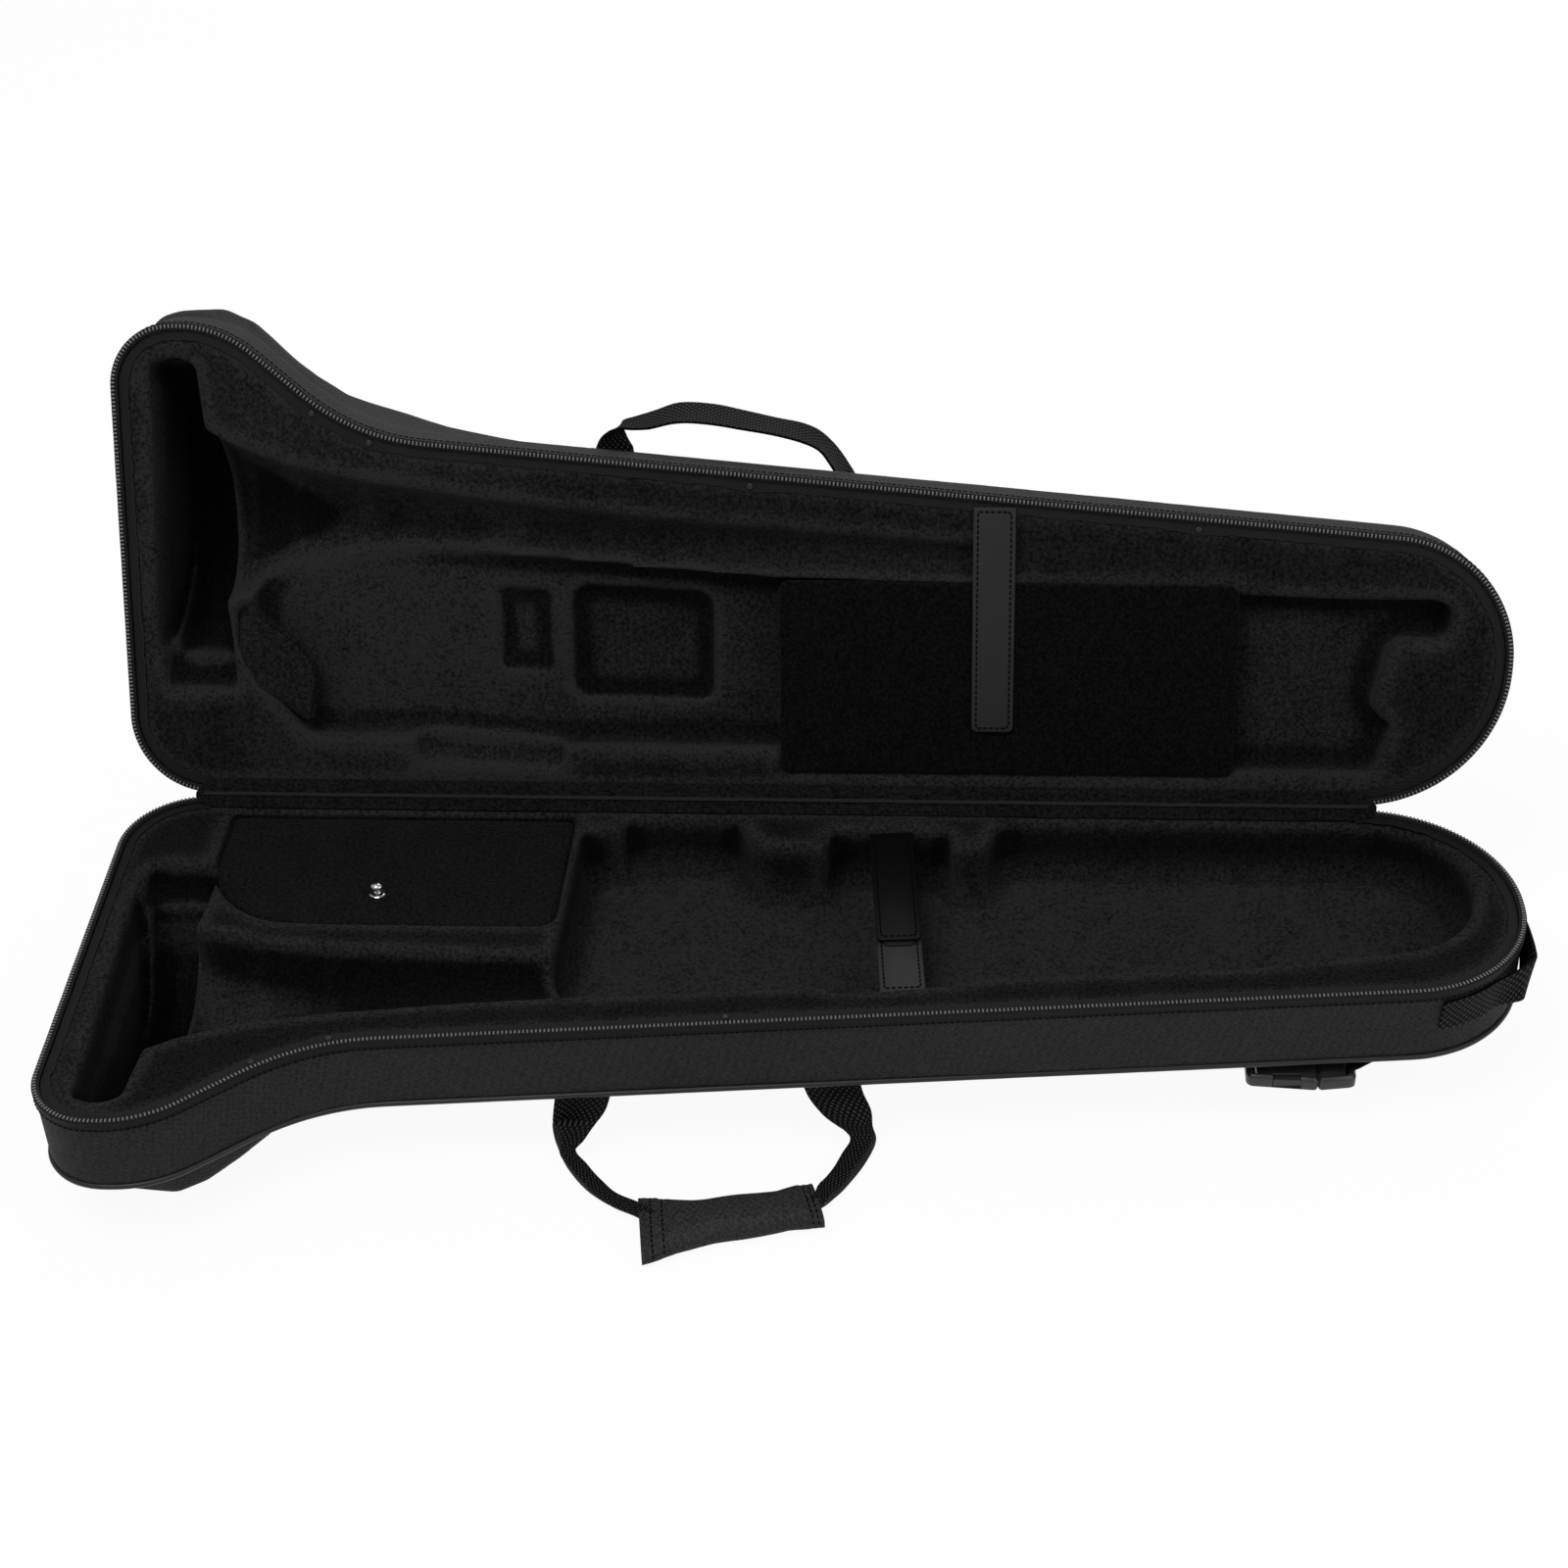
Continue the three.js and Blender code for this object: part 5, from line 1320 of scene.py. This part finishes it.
# Middle line of the carrying handle's sleeve on the floor, and its width and thickness by share of its length
GRIP_LINE = [(404, -328), (437, -323), (462, -317), (490, -311), (505, -306), (521, -301)]
GRIP_SHARES = [0, 0.05, 0.14, 0.22, 0.3, 0.45, 0.6, 0.7, 0.86, 1]
GRIP_WIDTHS = [58, 55, 43, 37, 34, 34, 31, 30, 35, 37]
GRIP_THICKNESSES = [13, 15, 17.5, 18, 18.5, 18.5, 18.5, 18, 17, 14]
GRIP_STEPS = 44
GRIP_COLUMNS = 36
GRIP_SEAMS = (2, 4, GRIP_STEPS - 4, GRIP_STEPS - 2)
SEAM_DEPTH = 0.35
THREAD_LIFT = 0.0002
# How far the sleeve's hems are drawn in at their rim and inside it, and how far the inner ring goes in
HEM_RIM = 0.16
HEM_INSIDE = 0.22
HEM_DEPTH = 5


class CASE_OT_grip(bpy.types.Operator):
    """Models the padded grip of the carrying handle"""

    bl_idname = "case.grip"
    bl_label = "Grip"

    def execute(self, context):
        line = spline([Vector((x, y, 0)) for x, y in GRIP_LINE], GRIP_STEPS)
        turns = [2 * math.pi * k / GRIP_COLUMNS for k in range(GRIP_COLUMNS)]
        rings, seams = [], {}
        for j, at in enumerate(line):
            ahead = heading(line, j)
            side = Vector((-ahead.y, ahead.x, 0))
            share = j / GRIP_STEPS
            sunk = SEAM_DEPTH if j in GRIP_SEAMS else 0
            wide = np.interp(share, GRIP_SHARES, GRIP_WIDTHS) / 2 + 0.4 * wavy((at.x, 0, 0), 22, 9) - sunk
            thick = np.interp(share, GRIP_SHARES, GRIP_THICKNESSES) / 2 - sunk
            middle = Vector((at.x, at.y, FLOOR_LEVEL + 0.4 + thick))
            ring = []
            for c, s in ((math.cos(a), math.sin(a)) for a in turns):
                across = math.copysign(abs(c) ** 0.6, c) * wide
                up = math.copysign(abs(s) ** 0.75, s) * thick
                ring.append((middle + side * across + UP * up) * MM)
            if sunk:
                upper = ring[: GRIP_COLUMNS // 2 + 1]
                seams[j] = [p + (p - middle * MM).normalized() * THREAD_LIFT for p in upper]
            rings.append((ring, middle * MM, ahead * MM))

        def hem(end, share, inward):
            """The sleeve's first or last ring, drawn in towards its middle and moved inwards."""
            ring, middle, ahead = rings[end]
            return [p.lerp(middle, share) + ahead * inward for p in ring]

        first = [hem(0, HEM_INSIDE, HEM_DEPTH), hem(0, HEM_RIM, 0)]
        last = [hem(-1, HEM_RIM, 0), hem(-1, HEM_INSIDE, -HEM_DEPTH)]
        piece = swept("grip_sleeve", first + [ring for ring, _, _ in rings] + last, round_section=True)
        settle(smooth_shade(piece, 50), "base")
        dress(piece, "grip", "twill", "base_handle", "handle_grip", fill=0.9)
        threads = [stitches(f"grip_row_{j}", seam, *BOLD_THREAD) for j, seam in seams.items()]
        deselect()
        for thread in threads:
            thread.select_set(True)
        bpy.context.view_layer.objects.active = threads[0]
        bpy.ops.object.join()
        row = settle(named(threads[0], "grip_stitches"), "base")
        dress(row, "thread", "twill", "base_handle")
        return {"FINISHED"}


# Hinge fabric, pack, sliders and buckle


def lid_section(y, depth):
    """A point of the open lid in the base's frame, in millimetres, from its place in the lid."""
    over = HINGE_OVERHANG / MM
    c, s = math.cos(LID_OPEN), math.sin(LID_OPEN)
    return ((y - over) * c + depth * s + over, -(y - over) * s + depth * c)


# Sections of the hinge's pieces from the base to the lid, in the base's frame in millimetres: setback towards
# the back, and height
HINGE_INSIDE = [(-9, -3.7), (-6.5, -2.6), (-4, -0.9), (-1.6, 1.4), (0.3, 3.6), (1.4, 6), lid_section(-9, 3.7)]
HINGE_FOLD = [(-2.2, 2.5), (-1.5, 3.4), (-0.6, 4.4)]
HINGE_OUTSIDE = [(0.8, -12), (0.8, -6), (0.8, -1.6), (1.15, 0.35), *(lid_section(0.8, d) for d in (4, 8, 12))]
HINGE_BEND = ("base", "lid", (0, *HINGE_INSIDE[1]), (0, *HINGE_INSIDE[-2]))
HINGE_STEPS = 170
HINGE_ROUNDING = 22


class CASE_OT_hinge(bpy.types.Operator):
    """Models the fabric hinge inside and outside"""

    bl_idname = "case.hinge"
    bl_label = "Hinge fabric"

    def execute(self, context):
        rows = [
            ("hinge_strip", "hinge_cloth", HINGE_INSIDE, 46, 911, "plush"),
            ("hinge_strip", "hinge_fold", HINGE_FOLD, 52, 905, "dark_ribbon"),
            ("hinge_web", "hinge_backing", HINGE_OUTSIDE, 70, 882, "twill"),
        ]
        for node, name, section, start, last, material in rows:
            core = section[len(section) // 2]
            places = [lerp(start, last, i / HINGE_STEPS) for i in range(HINGE_STEPS + 1)]
            rings = []
            for x in places:
                sway = 0.25 * wavy((x, 0, 0), 30, 6) if node == "hinge_strip" else 0
                wide = 1
                if name == "hinge_cloth":
                    missing = max(0.0, 1 - min(x - start, last - x) / HINGE_ROUNDING)
                    wide = 0.15 + 0.85 * math.sqrt(1 - missing**2)
                ring = [(lerp(core[0], y, wide) + sway, lerp(core[1], z, wide) + sway) for y, z in section]
                rings.append([Vector((x, y, z)) * MM for y, z in ring])
            piece = swept(name, rings, along=[x * MM for x in places])
            finish_with(piece, "SOLIDIFY", thickness=0.0009, offset=0)
            if material == "plush":
                store_painted_light(piece, np.full(len(piece.data.vertices), 0.25))
            settle(smooth_shade(piece, 60), "base")
            dress(piece, material, "twill", HINGE_BEND, node)
        return {"FINISHED"}


class CASE_OT_pack(bpy.types.Operator):
    """Models the folded harness pack under the base"""

    bl_idname = "case.pack"
    bl_label = "Harness pack"

    def execute(self, context):
        piece = rounded(half_copy("harness_pack", "base", "pack_cover"), 0.005, 8)
        ripple(piece, *UNEVEN_PACK)
        settle(smooth_shade(above_floor(piece)), "base")
        dress(piece, "twill", "twill", "base", "harness_pack", fill=0.7)
        return {"FINISHED"}


# Where the plug's webbing leaves the base and where it enters the plug, in the base's frame in millimetres
PLUG_BEND = ("base", "buckle_plug", (911, -191, -66), (880, -191, -72))
HARDWARE = [
    ("slider_bell", "slider_body_bell", 0.0008, "acetal", "zipper", "base"),
    ("pull_bell", "pull_tab_bell", 0.0005, "acetal", "zipper", "pull_bell"),
    ("slider_tail", "slider_body_tail", 0.0008, "acetal", "zipper", "base"),
    ("pull_tail", "pull_tab_tail", 0.0005, "acetal", "zipper", "pull_tail"),
    ("buckle_socket", "buckle_shell", 0.0006, "acetal", "plastic", "base"),
    ("buckle_plug", "buckle_prongs", 0.0006, "acetal", "plastic", "buckle_plug"),
    ("socket_webbing", "socket_band", 0.0004, "webbing", "webbing", "base"),
    ("plug_webbing", "plug_band", 0.0004, "webbing", "webbing", PLUG_BEND),
]


class CASE_OT_hardware(bpy.types.Operator):
    """Finishes the zipper sliders, their pulls and the buckle"""

    bl_idname = "case.hardware"
    bl_label = "Sliders and buckle"

    def execute(self, context):
        for node, name, width, material, slot, body in HARDWARE:
            dress(eased_copy(node, "base", name, width), material, slot, body, node)
        return {"FINISHED"}


# Stage

# Each lamp's place, where it points, its size in metres and its power in watts
LAMPS = {
    "key_softbox": ((-0.7, -0.9, 2.7), (0, 0.1, 0.2), 1.6, 40),
    "fill_softbox": ((1.9, -1.2, 1.8), (0.1, 0.1, 0.2), 1.4, 14),
    "back_softbox": ((0.2, 2.2, 2.2), (0, 0.2, 0.35), 1.8, 26),
}
WORLD_LIGHT = 0.38
FLOOR_SIZE = 60
FLOOR_CLEARANCE = 0.0005
# The camera: its focal length and the photograph's width in pixels, its sensor in millimetres, its place, and
# the directions to its right and behind it
FOCAL_PIXELS = 2841.5
PHOTO_PIXELS = 1600
SENSOR_WIDTH = 36
CAMERA_PLACE = (0.1232, -1.5063, 1.3490)
CAMERA_RIGHT = (0.9976, 0.0620, -0.0322)
CAMERA_BACK = (0.0689, -0.7972, 0.5998)


class CASE_OT_stage(bpy.types.Operator):
    """Adds the floor, the lights and the camera"""

    bl_idname = "case.stage"
    bl_label = "Stage"

    def execute(self, context):
        scene = context.scene
        scene.view_settings.view_transform = "Standard"
        deselect()
        bpy.ops.mesh.primitive_plane_add(size=FLOOR_SIZE, location=(0, 0, -FLOOR_CLEARANCE))
        floor = named(bpy.context.object, "studio_floor")
        bpy.ops.object.transform_apply(location=True, rotation=True, scale=True)
        paint(floor, "floor")
        scene.world = bpy.data.worlds.new("studio")
        scene.world.use_nodes = True
        tree = scene.world.node_tree
        tree.nodes.clear()
        ray = add_node(tree, "LightPath", None).outputs
        rays = {"i0": ray["Is Camera Ray"], "i1": ray["Is Transmission Ray"]}
        seen = add_node(tree, "Math", operation="MAXIMUM", **rays)
        strength = add_node(tree, "MapRange", Value=seen, To_Min=WORLD_LIGHT, To_Max=1.0)
        back = add_node(tree, "Background", Color=(1, 1, 1, 1), Strength=strength)
        add_node(tree, "OutputWorld", None, Surface=back)
        for name, (place, target, size, power) in LAMPS.items():
            data = bpy.data.lights.new(name, "AREA")
            data.shape = "DISK"
            data.size = size
            data.energy = power
            lamp = linked(name, data)
            lamp.location = place
            lamp.rotation_euler = (Vector(target) - Vector(place)).to_track_quat("-Z", "Y").to_euler()
        data = bpy.data.cameras.new("photo_view")
        data.sensor_fit = "AUTO"
        data.sensor_width = SENSOR_WIDTH
        data.lens = FOCAL_PIXELS / PHOTO_PIXELS * SENSOR_WIDTH
        data.clip_end = 100
        scene.camera = linked("photo_view", data)
        behind = Vector(CAMERA_BACK).normalized()
        up = behind.cross(Vector(CAMERA_RIGHT)).normalized()
        turn = Matrix((up.cross(behind).normalized(), up, behind)).transposed().to_4x4()
        scene.camera.matrix_world = Matrix.Translation(CAMERA_PLACE) @ turn
        return {"FINISHED"}


OPERATORS = [
    CASE_OT_stage,
    CASE_OT_shells,
    CASE_OT_linings,
    CASE_OT_piping,
    CASE_OT_zipper,
    CASE_OT_ribbon,
    CASE_OT_boards,
    CASE_OT_straps,
    CASE_OT_knob,
    CASE_OT_webbing,
    CASE_OT_grip,
    CASE_OT_hinge,
    CASE_OT_pack,
    CASE_OT_hardware,
]


class CASE_PT_parts(bpy.types.Panel):
    """Lists the case's parts, sizes and colours"""

    bl_idname = "CASE_PT_parts"
    bl_label = "Trombone case"
    bl_space_type = "VIEW_3D"
    bl_region_type = "UI"
    bl_category = "Case"

    def draw(self, context):
        layout = self.layout
        for settings in (context.scene.case_sizes, context.scene.case_colours):
            box = layout.box()
            for key in settings.__annotations__:
                box.prop(settings, key)
        for operator in OPERATORS:
            layout.operator(operator.bl_idname)


CLASSES = [CaseSizes, CaseColours, *OPERATORS, CASE_PT_parts]


def register():
    for cls in CLASSES:
        bpy.utils.register_class(cls)
    bpy.types.Scene.case_sizes = PointerProperty(type=CaseSizes)
    bpy.types.Scene.case_colours = PointerProperty(type=CaseColours)


def unregister():
    del bpy.types.Scene.case_colours
    del bpy.types.Scene.case_sizes
    for cls in reversed(CLASSES):
        bpy.utils.unregister_class(cls)


def main():
    register()
    make_materials()
    for operator in OPERATORS:
        group, name = operator.bl_idname.split(".")
        getattr(getattr(bpy.ops, group), name)()


if __name__ == "__main__":
    main()
